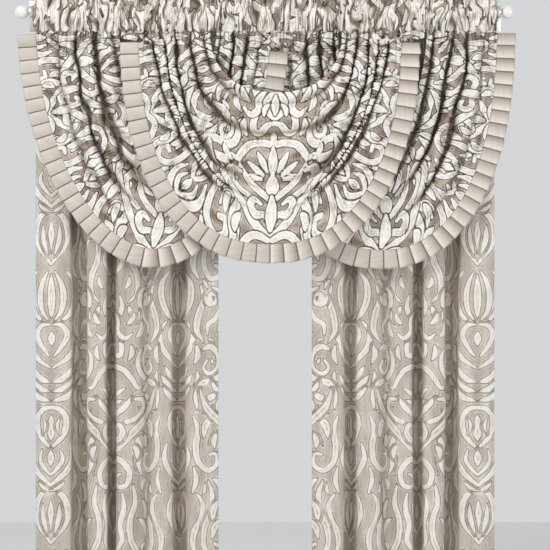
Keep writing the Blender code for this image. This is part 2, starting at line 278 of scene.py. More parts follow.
# The bulbs and what grows between them, over one repeat
BULB_AXIS = (
    Stroke(((0, 3), (26, 8), (50, 38), (59, 84), (45, 128), (20, 162), (0, 190)),
           (15, 19, 21, 21, 19, 14, 7)),
    Stroke(((0, -2), (24, -6), (42, -22), (40, -44)), (15, 15, 12, 5)),
    leaf((0, 152), (0, 36), 0, 24),
    leaf((12, 156), (31, 48), -7, 17),
    leaf((0, 386), (0, 222), 0, 27),
    Stroke(((6, 392), (32, 356), (42, 306), (34, 256), (12, 212)), (4, 15, 20, 16, 4)),
    Stroke(((24, 396), (62, 362), (84, 306), (80, 250), (52, 212)), (5, 18, 22, 19, 5)),
    Stroke(((6, 400), (36, 404), (54, 436), (34, 478), (8, 512)), (6, 17, 19, 15, 5)),
    Stroke(((66, 388), (92, 424), (86, 476), (52, 520), (4, 552)), (5, 18, 20, 17, 6)),
    Stroke(((0, 424), (0, 446), (0, 474)), (3, 24, 3)),
    leaf((2, 604), (76, 544), -14, 23),
    leaf((2, 636), (92, 574), -16, 24),
    leaf((2, 668), (86, 616), -14, 20),
    Stroke(((0, 690), (34, 700), (54, 740), (40, 792), (0, 836)), (12, 19, 20, 17, 8)),
    leaf((0, 808), (0, 716), 0, 31),
    leaf((30, 726), (28, 782), -6, 9),
    Stroke(((66, 816), (76, 866), (52, 918), (0, 964)), (6, 19, 19, 9)),
    Stroke(((34, 838), (42, 872), (26, 902), (0, 928)), (4, 13, 13, 7)),
    Stroke(((0, 842), (0, 866), (0, 894)), (5, 25, 4)),
)
# Scrolls and leaves between the two axes
MIDDLE = (
    leaf((108, 560), (96, 622), 8, 16),
    leaf((150, 520), (172, 540), 4, 12),
    leaf((232, 470), (228, 540), -10, 20),
    leaf((204, 236), (186, 182), 8, 15),
    leaf((250, 330), (240, 390), -8, 18),
    leaf((150, 450), (176, 476), 6, 14),
    leaf((120, 240), (146, 276), 6, 13),
    leaf((216, 690), (190, 700), 5, 14),
    leaf((232, 860), (222, 930), -8, 19),
    leaf((140, 950), (128, 996), 6, 16),
    leaf((180, 870), (196, 820), -5, 13),
    leaf((244, 230), (262, 276), -8, 15),
    Stroke(((104, 12), (128, 52), (122, 104), (96, 150), (92, 200), (112, 240)),
           (5, 18, 23, 22, 18, 5)),
    Stroke(((150, -30), (166, 24), (158, 86), (136, 136), (132, 192), (156, 236), (188, 232),
            (196, 204), (176, 192)), (5, 18, 22, 22, 20, 19, 16, 12)),
    leaf((170, 120), (196, 34), 12, 23),
    leaf((166, 176), (214, 100), 14, 22),
    Stroke(((232, -20), (222, 46), (240, 108), (238, 172), (214, 232), (216, 290), (246, 322)),
           (5, 17, 20, 21, 21, 18, 5)),
    Stroke(((118, 262), (130, 312), (112, 366), (106, 420), (132, 462)), (5, 20, 24, 20, 5)),
    curl(166, 306, 30, 190, -1.15, 16),
    Stroke(((166, 268), (196, 286), (204, 330), (180, 378), (150, 400), (148, 436)),
           (6, 17, 19, 19, 16, 5)),
    leaf((206, 352), (250, 402), -12, 22),
    leaf((196, 388), (222, 446), -12, 21),
    Stroke(((120, 492), (160, 478), (190, 506), (188, 552), (156, 574), (132, 552), (146, 526)),
           (6, 19, 21, 19, 17, 13, 9)),
    leaf((104, 470), (98, 540), 10, 20),
    Stroke(((110, 700), (106, 648), (130, 606), (172, 596), (206, 566), (214, 520), (198, 484)),
           (5, 18, 22, 20, 19, 16, 5)),
    leaf((128, 660), (186, 634), -10, 22),
    leaf((118, 704), (178, 680), -12, 24),
    Stroke(((96, 720), (112, 770), (104, 826), (112, 880), (148, 912), (182, 892), (180, 856),
            (154, 856)), (5, 19, 22, 20, 19, 17, 14, 9)),
    leaf((132, 800), (182, 716), 16, 25),
    leaf((150, 826), (214, 772), 12, 22),
    Stroke(((96, 900), (104, 944), (90, 992)), (5, 17, 5)),
    Stroke(((196, 930), (212, 888), (204, 838), (222, 790), (232, 740)), (5, 18, 21, 19, 5)),
    leaf((168, 940), (196, 986), 10, 18),
)
# The chain of palmettes and rings at the other axis
CHAIN_AXIS = (
    Stroke(((343, 6), (312, 30), (296, 78), (314, 130), (343, 160)), (10, 17, 19, 17, 9)),
    Stroke(((343, 50), (343, 78), (343, 112)), (3, 27, 4)),
    Stroke(((268, 10), (262, 66), (276, 124), (268, 180), (296, 214), (343, 232)),
           (5, 17, 19, 17, 17, 10)),
    Stroke(((343, 232), (318, 250), (310, 272), (320, 296), (343, 314)), (9, 13, 14, 13, 9)),
    leaf((343, 300), (343, 246), 0, 19),
    Stroke(((343, 314), (312, 338), (286, 372), (268, 338), (276, 296)), (10, 18, 20, 16, 5)),
    Stroke(((343, 350), (318, 376), (308, 404), (318, 432), (343, 454)), (9, 14, 15, 14, 9)),
    leaf((343, 440), (343, 366), 0, 20),
    Stroke(((343, 470), (318, 478), (298, 506), (274, 506), (270, 470), (284, 440)),
           (7, 16, 18, 18, 15, 5)),
    Stroke(((306, 352), (284, 386), (284, 424), (258, 448), (234, 432)), (5, 15, 17, 15, 6)),
    leaf((252, 400), (224, 358), 6, 17),
    leaf((238, 470), (248, 528), -8, 17),
    leaf((320, 400), (304, 444), -5, 11),
    leaf((343, 552), (343, 506), 0, 17),
    Stroke(((343, 552), (302, 546), (262, 560), (236, 592), (216, 622), (190, 616)),
           (18, 19, 19, 18, 15, 6)),
    leaf((307, 675), (244, 666), 0, 13),
    leaf((312, 659), (256, 621), 0, 15),
    leaf((326, 648), (291, 582), 0, 16),
    leaf((343, 658), (343, 562), 0, 25),
    Stroke(((226, 640), (262, 690), (304, 722), (343, 752)), (6, 18, 18, 12)),
    Stroke(((343, 676), (343, 694), (343, 728)), (24, 40, 5)),
    Stroke(((296, 758), (256, 742), (216, 726), (190, 696), (198, 664), (226, 662)),
           (5, 14, 18, 20, 18, 9)),
    Stroke(((120, 628), (142, 688), (196, 744), (240, 786), (290, 836), (343, 880)),
           (5, 22, 24, 24, 23, 13)),
    Stroke(((334, 826), (318, 800), (288, 806), (268, 780), (280, 752), (304, 764)),
           (8, 16, 20, 20, 16, 7)),
    Stroke(((343, 852), (343, 812), (343, 786), (343, 734)), (8, 30, 26, 4)),
    leaf((232, 824), (218, 872), -8, 20),
    leaf((184, 782), (176, 836), -8, 20),
    leaf((196, 636), (166, 600), 6, 16),
    Stroke(((343, 892), (302, 872), (270, 880), (244, 918), (254, 962), (286, 968),
            (296, 938), (276, 924)), (10, 19, 20, 19, 18, 16, 12, 9)),
    Stroke(((343, 906), (318, 930), (320, 962), (343, 984)), (7, 14, 14, 8)),
)


@dataclass
class OrnamentTile:
    """The woven figure as a field of distances: above 0 in the ivory, below 0 in the ground."""

    half_width: float = 0.343
    height: float = 0.978
    step: float = 0.002
    reach: float = 0.014
    moat: float = 0.007
    swell: float = 0.0024
    spine_spacing: float = 2.0
    short_of_last: float = 0.001

    def __post_init__(self) -> None:
        """Draws every stroke once."""
        self.columns = round(self.half_width / self.step) + 1
        self.rows = round(self.height / self.step)
        self.pitch = (self.half_width / (self.columns - 1), self.height / self.rows)
        self.field = np.full((self.rows, self.columns), -self.reach)
        for stroke in BULB_AXIS + MIDDLE + CHAIN_AXIS:
            self.draw(stroke)

    def draw(self, stroke: Stroke) -> None:
        """Draws a stroke over the others, with a narrow moat of ground round it.

        Args:
            stroke: The band to draw, with its mirror images at both axes and its repeats.
        """
        spine, half = stroke.spine(self.spine_spacing)
        half = half + self.swell
        inside = np.full_like(self.field, -1.0)
        for offset, sign in ((0.0, 1.0), (0.0, -1.0), (2 * self.half_width, -1.0)):
            for shift in (-self.height, 0.0, self.height):
                self.stamp(inside, spine * (sign, 1.0) + (offset, shift), half)
        np.minimum(self.field, -inside - self.moat, out=self.field)
        np.maximum(self.field, inside, out=self.field)
        np.maximum(self.field, -self.reach, out=self.field)

    def stamp(self, inside: Grid, spine: Grid, half: Grid) -> None:
        """Marks the part of one copy that lies on the tile.

        Args:
            inside: Distances inside the band, raised here.
            spine: The middle line's points.
            half: Half the width at each point.
        """
        margin = half.max() + self.reach + self.moat
        limits = (self.columns, self.rows)
        low = [max(0, int((spine[:, side].min() - margin) / self.pitch[side])) for side in (0, 1)]
        high = [min(limits[side], int((spine[:, side].max() + margin) / self.pitch[side]) + 2)
                for side in (0, 1)]
        if low[0] >= high[0] or low[1] >= high[1]:
            return
        across = np.arange(low[0], high[0]) * self.pitch[0]
        down = np.arange(low[1], high[1]) * self.pitch[1]
        window = inside[low[1]:high[1], low[0]:high[0]]
        for (x, y), radius in zip(spine, half):
            gap = np.sqrt((across[None, :] - x) ** 2 + (down[:, None] - y) ** 2)
            np.maximum(window, radius - gap, out=window)

    def sample(self, across: Grid, down: Grid) -> Grid:
        """The figure at places of the endless cloth.

        Args:
            across: Metres from the bulb axis.
            down: Metres below the bulb's top.

        Returns:
            Distance inside the figure, in metres.
        """
        wide = np.mod(across, 2 * self.half_width)
        wide = np.where(wide > self.half_width, 2 * self.half_width - wide, wide)
        column = np.clip(wide / self.pitch[0], 0, self.columns - 1 - self.short_of_last)
        row = np.mod(down, self.height) / self.pitch[1]
        left, top = np.floor(column).astype(int), np.floor(row).astype(int) % self.rows
        below = (top + 1) % self.rows
        x, y = column - left, row - np.floor(row)
        upper = between(self.field[top, left], self.field[top, left + 1], x)
        lower = between(self.field[below, left], self.field[below, left + 1], x)
        return between(upper, lower, y)


@dataclass(frozen=True)
class Cloud:
    """A noise on the cloth: low to high of it is mapped to start to end."""

    scale: Triple
    detail: float
    low: float
    high: float
    start: float = 0.0
    end: float = 1.0


@dataclass(frozen=True)
class FiguredCloth:
    """Woven cloth with an ivory figure on a greige satin ground. Colours are linear.

    The dark line at the figure's edge, echo in the ground beside it and rib in the figure are
    narrow lines; the dark edge line is woven, and partly painted shade of the raised figure's edge.
    Two tints are painted shade in a fold, halfway in and deepest. The other tints darken by painted
    shade in the crinkles, by strie and mottle, and by painted sheen and shade in bands.
    """

    name: str
    ground: Triple
    figure: Triple
    outline_and_shade: Triple
    echo: Triple
    rib: Triple
    hollow_shade: Triple
    groove_shade: Triple
    figure_roughness: float = 0.42
    ground_roughness: float = 0.58
    crinkle_shade: float = 0.40
    crinkle_shade_width: float = 0.045
    crinkle_shade_tint: Triple = (0.52, 0.47, 0.42)
    strie: float = 0.30
    strie_least: float = 0.3
    strie_tint: Triple = (0.66, 0.61, 0.55)
    mottle_tint: Triple = (0.80, 0.77, 0.74)
    sheen: float = 0.90
    sheen_scale: Triple = (5.0, 24.0, 1.0)
    ground_sheen_tint: Triple = (0.42, 0.37, 0.32)
    sheen_tint: Triple = (0.72, 0.69, 0.66)
    drawn: Cloud = Cloud((34.0, 34.0, 1.0), 2.0, 0.32, 0.54)
    threads: Cloud = Cloud((900.0, 14.0, 1.0), 2.0, 0.40, 0.62)
    strie_patches: Cloud = Cloud((22.0, 15.0, 1.0), 1.0, 0.40, 0.62)
    mottle: Cloud = Cloud((9.0, 9.0, 1.0), 3.0, 0.4, 0.7, 0.0, 0.22)
    figure_reach: float = 12.0
    hollow_shade_at: float = 0.55
    emboss: float = 1.5
    emboss_edge: float = 1.0
    crinkle_scale: Triple = (95.0, 55.0, 1.0)
    crinkle_height: float = 7.0
    warp: float = 160.0
    weft: float = 130.0
    thread_height: float = 0.07
    ground_bands: Pair = (0.34, 0.60)
    light_bands: Pair = (0.50, 0.70)
    light_band: float = 0.35
    bump_strength: float = 0.8
    bump_distance: float = 0.0020

    def material(self) -> Material:
        """The finish as a node material that reads the cloth's attributes and flat map.

        Returns:
            The material.
        """
        nodes = NodeSheet(self.name)
        figure = nodes.attribute("figure")
        flat = nodes.add("ShaderNodeUVMap").outputs["UV"]
        inside = nodes.span(figure, -self.emboss_edge, self.emboss_edge)
        crinkle = nodes.noise(nodes.scaled(flat, self.crinkle_scale), FINE_NOISE)
        crinkle = nodes.math("ABSOLUTE", nodes.math("SUBTRACT", crinkle, 0.5), 0.0)
        colour = self.woven(nodes, figure, flat)
        colour = self.streaked(nodes, colour, flat)
        colour = self.banded(nodes, colour, flat, inside)
        # Painted shade: thin dark lines in the valleys of the crinkle bump.
        crinkle_shading = nodes.span(crinkle, 0.0, self.crinkle_shade_width, self.crinkle_shade, 0.0)
        colour = nodes.blend("MULTIPLY", crinkle_shading, colour, self.crinkle_shade_tint)
        roughness = nodes.span(inside, 0.0, 1.0, self.ground_roughness, self.figure_roughness)
        height = nodes.math("ADD", nodes.math("MULTIPLY", inside, self.emboss),
                            nodes.math("MULTIPLY", crinkle, self.crinkle_height))
        weave = nodes.math("ADD", nodes.wave(flat, "X", self.warp),
                           nodes.wave(flat, "Y", self.weft))
        height = nodes.math("ADD", height, nodes.math("MULTIPLY", weave, self.thread_height))
        nodes.finish(colour, roughness,
                     nodes.bump(height, self.bump_strength, self.bump_distance),
                     {"Sheen Weight": 0.18, "Sheen Roughness": 0.45, "Specular IOR Level": 0.42})
        return nodes.material

    def woven(self, nodes: NodeSheet, figure: Feed, flat: Feed) -> NodeSocket:
        """The figure's colours, with its lines drawn in some patches and bare in others.

        Args:
            nodes: The material's nodes.
            figure: Distance inside the figure, in millimetres.
            flat: Flat cloth coordinates.

        Returns:
            The colour.
        """
        # The dark line at the figure's edge is woven, and partly painted shade of the raised
        # figure's edge.
        shades = (
            (-12.0, self.ground), (-7.4, self.ground), (-6.4, self.echo), (-4.9, self.echo),
            (-4.2, self.ground), (-3.4, self.outline_and_shade), (-0.8, self.outline_and_shade),
            (0.1, self.figure), (7.4, self.figure), (8.6, self.rib), (9.8, self.rib),
            (11.0, self.figure),
        )
        bare_of = {self.outline_and_shade: self.ground, self.rib: self.figure}
        plain = [(mark, bare_of.get(shade, shade)) for mark, shade in shades]
        reach = self.figure_reach
        across = nodes.span(figure, -reach, reach)
        drawn, bare = (nodes.ramp(across, [((mark + reach) / (2 * reach), shade)
                                           for mark, shade in stops])
                       for stops in (shades, plain))
        return nodes.blend("MIX", nodes.cloud(flat, self.drawn), bare, drawn)

    def streaked(self, nodes: NodeSheet, colour: Feed, flat: Feed) -> NodeSocket:
        """A colour with vertical streaks, a mottle and the painted shade of the creases.

        Args:
            nodes: The material's nodes.
            colour: The colour so far.
            flat: Flat cloth coordinates.

        Returns:
            The colour.
        """
        patches = self.strie_patches
        strength = nodes.span(nodes.noise(nodes.scaled(flat, patches.scale), patches.detail),
                              patches.low, patches.high, self.strie_least * self.strie,
                              self.strie)
        streaks = nodes.math("MULTIPLY", nodes.cloud(flat, self.threads), strength)
        colour = nodes.blend("MULTIPLY", streaks, colour, self.strie_tint)
        colour = nodes.blend("MULTIPLY", nodes.cloud(flat, self.mottle), colour,
                             self.mottle_tint)
        # Painted shade: the cloth's shade attribute darkens the colour into folds, wrinkles and
        # gathers.
        shade = nodes.ramp(nodes.attribute("crease"), [(0.0, (1.0, 1.0, 1.0)),
                                                       (self.hollow_shade_at, self.hollow_shade),
                                                       (1.0, self.groove_shade)])
        return nodes.blend("MULTIPLY", 1.0, colour, shade)

    def banded(self, nodes: NodeSheet, colour: Feed, flat: Feed, inside: Feed) -> NodeSocket:
        """A colour with uneven bands of painted sheen and painted fold shade, strongest on the
        ground.

        Args:
            nodes: The material's nodes.
            colour: The colour so far.
            flat: Flat cloth coordinates.
            inside: 1 in the figure and 0 in the ground.

        Returns:
            The colour.
        """
        # Painted sheen and shade: broad bands that darken the ground most and the figure a little.
        bands = nodes.noise(nodes.scaled(flat, self.sheen_scale), SOFT_NOISE)
        band_shade = nodes.math("SUBTRACT", nodes.span(bands, *self.ground_bands), inside)
        colour = nodes.blend("MULTIPLY", nodes.span(band_shade, 0.0, 1.0, 0.0, self.sheen), colour,
                             self.ground_sheen_tint)
        light = nodes.span(bands, *self.light_bands, 0.0, self.light_band)
        return nodes.blend("MULTIPLY", light, colour, self.sheen_tint)


@dataclass(frozen=True)
class SatinCloth:
    """Plain satin of the pleated trims."""

    name: str
    face: Triple
    shade: Triple
    pleat_shade_tint: Triple = (0.42, 0.37, 0.32)
    slub_tint: Triple = (0.84, 0.82, 0.80)
    slub_strength: float = 0.35
    slub_span: Pair = (0.4, 0.8)
    gloss_span: Pair = (0.3, 0.7)
    roughness: float = 0.40
    roughness_spread: float = 0.12
    mottle: Cloud = Cloud((30.0, 18.0, 1.0), 3.0, 0.3, 0.7)
    slub_scale: Triple = (40.0, 900.0, 1.0)
    pucker_scale: Triple = (90.0, 60.0, 1.0)
    rib: float = 150.0
    rib_height: float = 0.15
    bump_strength: float = 0.35
    bump_distance: float = 0.0010

    def material(self) -> Material:
        """The finish, with a fine rib, a soft mottle and painted shade in the gaps between pleats
        and across their faces.

        Returns:
            The material.
        """
        nodes = NodeSheet(self.name)
        flat = nodes.add("ShaderNodeUVMap").outputs["UV"]
        colour = nodes.ramp(nodes.cloud(flat, self.mottle), [(0.0, self.shade), (1.0, self.face)])
        slub = nodes.noise(nodes.scaled(flat, self.slub_scale), SOFT_NOISE)
        slubs = nodes.span(slub, *self.slub_span, 0.0, self.slub_strength)
        colour = nodes.blend("MULTIPLY", slubs, colour, self.slub_tint)
        # Painted shade from the pleats' shade attribute: dark in the gaps, graded across each face.
        colour = nodes.blend("MULTIPLY", nodes.attribute("crease"), colour, self.pleat_shade_tint)
        pucker = nodes.noise(nodes.scaled(flat, self.pucker_scale), FINE_NOISE)
        rib = nodes.math("MULTIPLY", nodes.wave(flat, "Y", self.rib), self.rib_height)
        height = nodes.math("ADD", rib, pucker)
        roughness = nodes.span(slub, *self.gloss_span, self.roughness,
                               self.roughness + self.roughness_spread)
        nodes.finish(colour, roughness,
                     nodes.bump(height, self.bump_strength, self.bump_distance),
                     {"Sheen Weight": 0.12, "Sheen Roughness": 0.4, "Specular IOR Level": 0.45})
        return nodes.material


@dataclass(frozen=True)
class HardFinish:
    """Metal or lacquer of the rods, brackets and balls."""

    name: str
    light: Triple
    dark: Triple
    roughness: float
    metallic: float
    coat: float
    grain: Triple
    relief: float
    roughness_spread: float = 0.08
    grain_span: Pair = (0.3, 0.7)
    bump_strength: float = 0.25

    def material(self) -> Material:
        """The finish, with a grain that follows the piece.

        Returns:
            The material.
        """
        nodes = NodeSheet(self.name)
        place = nodes.add("ShaderNodeTexCoord").outputs["Object"]
        grain = nodes.noise(nodes.scaled(place, self.grain), FINEST_NOISE)
        colour = nodes.ramp(nodes.span(grain, *self.grain_span),
                            [(0.0, self.dark), (1.0, self.light)])
        roughness = nodes.span(grain, *self.grain_span, self.roughness + self.roughness_spread,
                               self.roughness)
        nodes.finish(colour, roughness, nodes.bump(grain, self.bump_strength, self.relief),
                     {"Metallic": self.metallic, "Coat Weight": self.coat,
                      "Coat Roughness": 0.12})
        return nodes.material


class NodeSheet:
    """One material's node tree, with a short call for each kind of node.

    mix_inputs are a Mix node's factor and its two colours, and mix_output is its colour.
    """

    mix_inputs = (0, 6, 7)
    mix_output = 2
    thread_wobble = 0.6

    def __init__(self, name: str) -> None:
        """Starts a material of this name.

        Args:
            name: Name of the material.
        """
        self.material = bpy.data.materials.new(name)
        self.material.use_nodes = True
        self.tree = self.material.node_tree
        self.shader = self.tree.nodes["Principled BSDF"]

    def add(self, kind: str) -> Node:
        """A new node of this kind."""
        return self.tree.nodes.new(kind)

    def plug(self, value: Feed, socket: NodeSocket) -> None:
        """Links a socket, or sets a plain value, on an input.

        Args:
            value: A socket to link, or a plain value.
            socket: The input.
        """
        if isinstance(value, NodeSocket):
            self.tree.links.new(value, socket)
        elif isinstance(value, tuple) and len(value) == 3 and socket.type == "RGBA":
            socket.default_value = (*value, 1.0)
        else:
            socket.default_value = value

    def result(self, kind: str, output: str, inputs: dict[str, Feed]) -> NodeSocket:
        """What a new node gives.

        Args:
            kind: The node's type.
            output: Which of its outputs is wanted.
            inputs: What goes into its sockets.

        Returns:
            The output.
        """
        node = self.add(kind)
        for socket, value in inputs.items():
            self.plug(value, node.inputs[socket])
        return node.outputs[output]

    def attribute(self, name: str) -> NodeSocket:
        """A number stored on the mesh."""
        node = self.add("ShaderNodeAttribute")
        node.attribute_name = name
        return node.outputs["Fac"]

    def math(self, operation: str, first: Feed, second: Feed) -> NodeSocket:
        """One sum or product.

        Args:
            operation: What the node does.
            first: Its first input.
            second: Its second input.

        Returns:
            The result.
        """
        node = self.add("ShaderNodeMath")
        node.operation = operation
        self.plug(first, node.inputs[0])
        self.plug(second, node.inputs[1])
        return node.outputs[0]

    def span(self, value: Feed, low: float, high: float, start: float = 0.0,
             end: float = 1.0) -> NodeSocket:
        """A value's range from low to high mapped to start to end, and held at its ends."""
        return self.result("ShaderNodeMapRange", "Result", {
            "Value": value, "From Min": low, "From Max": high, "To Min": start, "To Max": end})

    def ramp(self, value: Feed, stops: list[tuple[float, Triple]]) -> NodeSocket:
        """Colours along a value: a list of (place, colour).

        Args:
            value: Place on the ramp, 0 to 1.
            stops: Each colour with its place.

        Returns:
            The colour.
        """
        node = self.add("ShaderNodeValToRGB")
        marks = node.color_ramp.elements
        while len(marks) < len(stops):
            marks.new(1.0)
        for mark, (place, colour) in zip(marks, stops):
            mark.position = place
            mark.color = (*colour, 1.0)
        self.plug(value, node.inputs["Fac"])
        return node.outputs["Color"]

    def scaled(self, place: Feed, scale: Triple) -> NodeSocket:
        """Coordinates stretched by a factor for each axis."""
        return self.result("ShaderNodeMapping", "Vector", {"Vector": place, "Scale": scale})

    def noise(self, place: Feed, detail: float) -> NodeSocket:
        """Cloudy noise round a half, with this many steps of finer noise."""
        return self.result("ShaderNodeTexNoise", "Fac",
                           {"Vector": place, "Scale": 1.0, "Detail": detail})

    def cloud(self, place: Feed, cloud: Cloud) -> NodeSocket:
        """One of a cloth's clouds, from its start to its end."""
        noise = self.noise(self.scaled(place, cloud.scale), cloud.detail)
        return self.span(noise, cloud.low, cloud.high, cloud.start, cloud.end)

    def wave(self, place: Feed, direction: str, scale: float) -> NodeSocket:
        """Parallel threads across one direction.

        Args:
            place: Where it is read.
            direction: X or Y.
            scale: How fine the threads are.

        Returns:
            0 to 1 over each thread.
        """
        node = self.add("ShaderNodeTexWave")
        node.bands_direction = direction
        self.plug(place, node.inputs["Vector"])
        node.inputs["Scale"].default_value = scale
        node.inputs["Distortion"].default_value = self.thread_wobble
        return node.outputs["Fac"]

    def blend(self, kind: str, share: Feed, first: Feed, second: Feed) -> NodeSocket:
        """Two colours mixed.

        Args:
            kind: How they are mixed.
            share: How far the second counts.
            first: The first colour.
            second: The second colour.

        Returns:
            The colour.
        """
        node = self.add("ShaderNodeMix")
        node.data_type = "RGBA"
        node.blend_type = kind
        for value, socket in zip((share, first, second), self.mix_inputs):
            self.plug(value, node.inputs[socket])
        return node.outputs[self.mix_output]

    def bump(self, height: Feed, strength: float, distance: float) -> NodeSocket:
        """A height as a bent normal, with its strength and the metres for a height of 1."""
        return self.result("ShaderNodeBump", "Normal",
                           {"Height": height, "Strength": strength, "Distance": distance})

    def finish(self, colour: Feed, roughness: Feed, normal: Feed,
               constants: dict[str, float]) -> None:
        """Fills the shader's sockets.

        Args:
            colour: Base colour.
            roughness: Roughness.
            normal: Bent normal.
            constants: Plain values of other sockets.
        """
        inputs = {"Base Color": colour, "Roughness": roughness, "Normal": normal, **constants}
        for name, value in inputs.items():
            self.plug(value, self.shader.inputs[name])


@dataclass
class SheetGrid:
    """A cloth's points in rows and columns, with what its finish reads at each of them."""

    points: Grid
    flat: Grid
    attributes: dict[str, Grid] = field(default_factory=dict)
    closed: bool = False
    face_back: bool = False

    def build(self, name: str, material: Material, node: str, slot: str) -> Object:
        """Makes the mesh object from a bmesh grid.

        Args:
            name: Name of the piece.
            material: Its finish.
            node: The plain solid it stands for.
            slot: Not used.

        Returns:
            The object, at the origin, shaded smooth and riding.
        """
        rows, columns = self.points.shape[:2]
        shape = bmesh.new()
        bmesh.ops.create_grid(shape, x_segments=columns - 1, y_segments=rows - 1, size=0.5)
        if self.face_back:
            bmesh.ops.reverse_faces(shape, faces=shape.faces)
        mesh = bpy.data.meshes.new(name)
        shape.to_mesh(mesh)
        shape.free()
        where = np.empty(len(mesh.vertices) * 3)
        mesh.vertices.foreach_get("co", where)
        where = where.reshape(-1, 3)
        column = np.rint((where[:, 0] + 0.5) * (columns - 1)).astype(int)
        row = np.rint((where[:, 1] + 0.5) * (rows - 1)).astype(int)
        mesh.vertices.foreach_set("co", self.points[row, column].ravel())
        for key, values in self.attributes.items():
            layer = mesh.attributes.new(key, "FLOAT", "POINT")
            layer.data.foreach_set("value", values[row, column].astype(np.float32))
        corner = np.empty(len(mesh.loops), dtype=np.int32)
        mesh.loops.foreach_get("vertex_index", corner)
        chart = mesh.uv_layers.new(name="flat_cloth")
        chart.data.foreach_set("uv", self.flat[row, column][corner].ravel())
        if self.closed:
            self.weld(mesh)
        mesh.materials.append(material)
        mesh.shade_smooth()
        mesh.update()
        piece = placed(name, mesh)
        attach(piece, BODY)
        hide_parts(node)
        return piece

    @staticmethod
    def weld(mesh: Mesh) -> None:
        """Joins the last row to the first where they meet.

        Args:
            mesh: The mesh, changed here.
        """
        shape = bmesh.new()
        shape.from_mesh(mesh)
        bmesh.ops.remove_doubles(shape, verts=shape.verts, dist=WELD)
        shape.to_mesh(mesh)
        shape.free()


@dataclass(frozen=True)
class FoldLine:
    """A ridge or trough of a swag, hanging between its two ends at the heading.

    drop is how far its lowest point hangs, squareness the exponent of its curve, and side and
    low are how far it stands forward at the sides and at the bottom.
    """

    left_x: float
    right_x: float
    drop: float
    squareness: float
    side: float
    low: float


class PleatPoint(NamedTuple):
    """A point of a box pleat's section.

    share is its place along the pitch and beyond the metres past it. back is how far it lies
    behind, as a share of the depth at first, and the last field is its painted shade in the gap
    between two pleats.
    """

    share: float
    beyond: float
    back: float
    slit_shade: float


@dataclass(frozen=True)
class SwagEnd:
    """One end of a swag: the y where it hangs, where its trim starts, its flare at the top."""

    plane: float
    trim_top: float
    flare: float


CENTRE_LINES = tuple(FoldLine(*row) for row in (
    (-0.191, 0.268, 0.219, 2.30, 0.006, 0.004),
    (-0.212, 0.285, 0.258, 2.30, -0.006, -0.004),
    (-0.233, 0.303, 0.306, 2.30, 0.008, 0.006),
    (-0.258, 0.320, 0.362, 2.30, -0.009, -0.006),
    (-0.285, 0.341, 0.438, 2.25, 0.008, 0.006),
    (-0.310, 0.362, 0.539, 2.20, -0.010, -0.003),
    (-0.331, 0.379, 0.574, 2.05, 0.008, 0.001),
    (-0.348, 0.397, 0.606, 1.90, -0.010, 0.000),
    (-0.369, 0.414, 0.626, 1.80, 0.008, 0.001),
    (-0.390, 0.432, 0.647, 1.70, -0.009, 0.000),
    (-0.411, 0.449, 0.682, 1.95, 0.007, 0.003),
    (-0.425, 0.459, 0.713, 2.15, 0.003, 0.002),
    (-0.438, 0.473, 0.745, 2.30, 0.000, 0.000),
))
LEFT_LINES = tuple(FoldLine(*row) for row in (
    (-0.508, -0.167, 0.209, 1.90, 0.004, 0.003),
    (-0.532, -0.153, 0.278, 1.90, -0.006, -0.004),
    (-0.557, -0.136, 0.383, 1.85, 0.008, 0.005),
    (-0.595, -0.111, 0.557, 1.85, -0.012, -0.004),
    (-0.630, -0.087, 0.599, 1.85, 0.009, 0.003),
    (-0.661, -0.066, 0.640, 1.85, -0.011, -0.003),
    (-0.693, -0.045, 0.675, 1.85, 0.008, 0.003),
    (-0.724, -0.024, 0.699, 1.85, -0.005, -0.002),
    (-0.759, -0.003, 0.727, 1.85, 0.004, 0.002),
    (-0.797, 0.017, 0.760, 1.85, 0.000, 0.000),
))
RIGHT_LINES = tuple(FoldLine(*row) for row in (
    (0.254, 0.564, 0.383, 1.75, 0.004, 0.003),
    (0.238, 0.588, 0.522, 1.60, -0.010, -0.004),
    (0.214, 0.619, 0.550, 1.65, 0.009, 0.003),
    (0.188, 0.652, 0.585, 1.70, -0.012, -0.004),
    (0.162, 0.679, 0.612, 1.75, 0.009, 0.003),
    (0.138, 0.705, 0.661, 1.80, -0.011, -0.003),
    (0.108, 0.734, 0.696, 1.90, 0.008, 0.003),
    (0.076, 0.762, 0.720, 2.05, -0.004, -0.002),
    (0.040, 0.783, 0.741, 2.15, 0.003, 0.002),
    (0.000, 0.807, 0.764, 2.25, 0.000, 0.000),
))


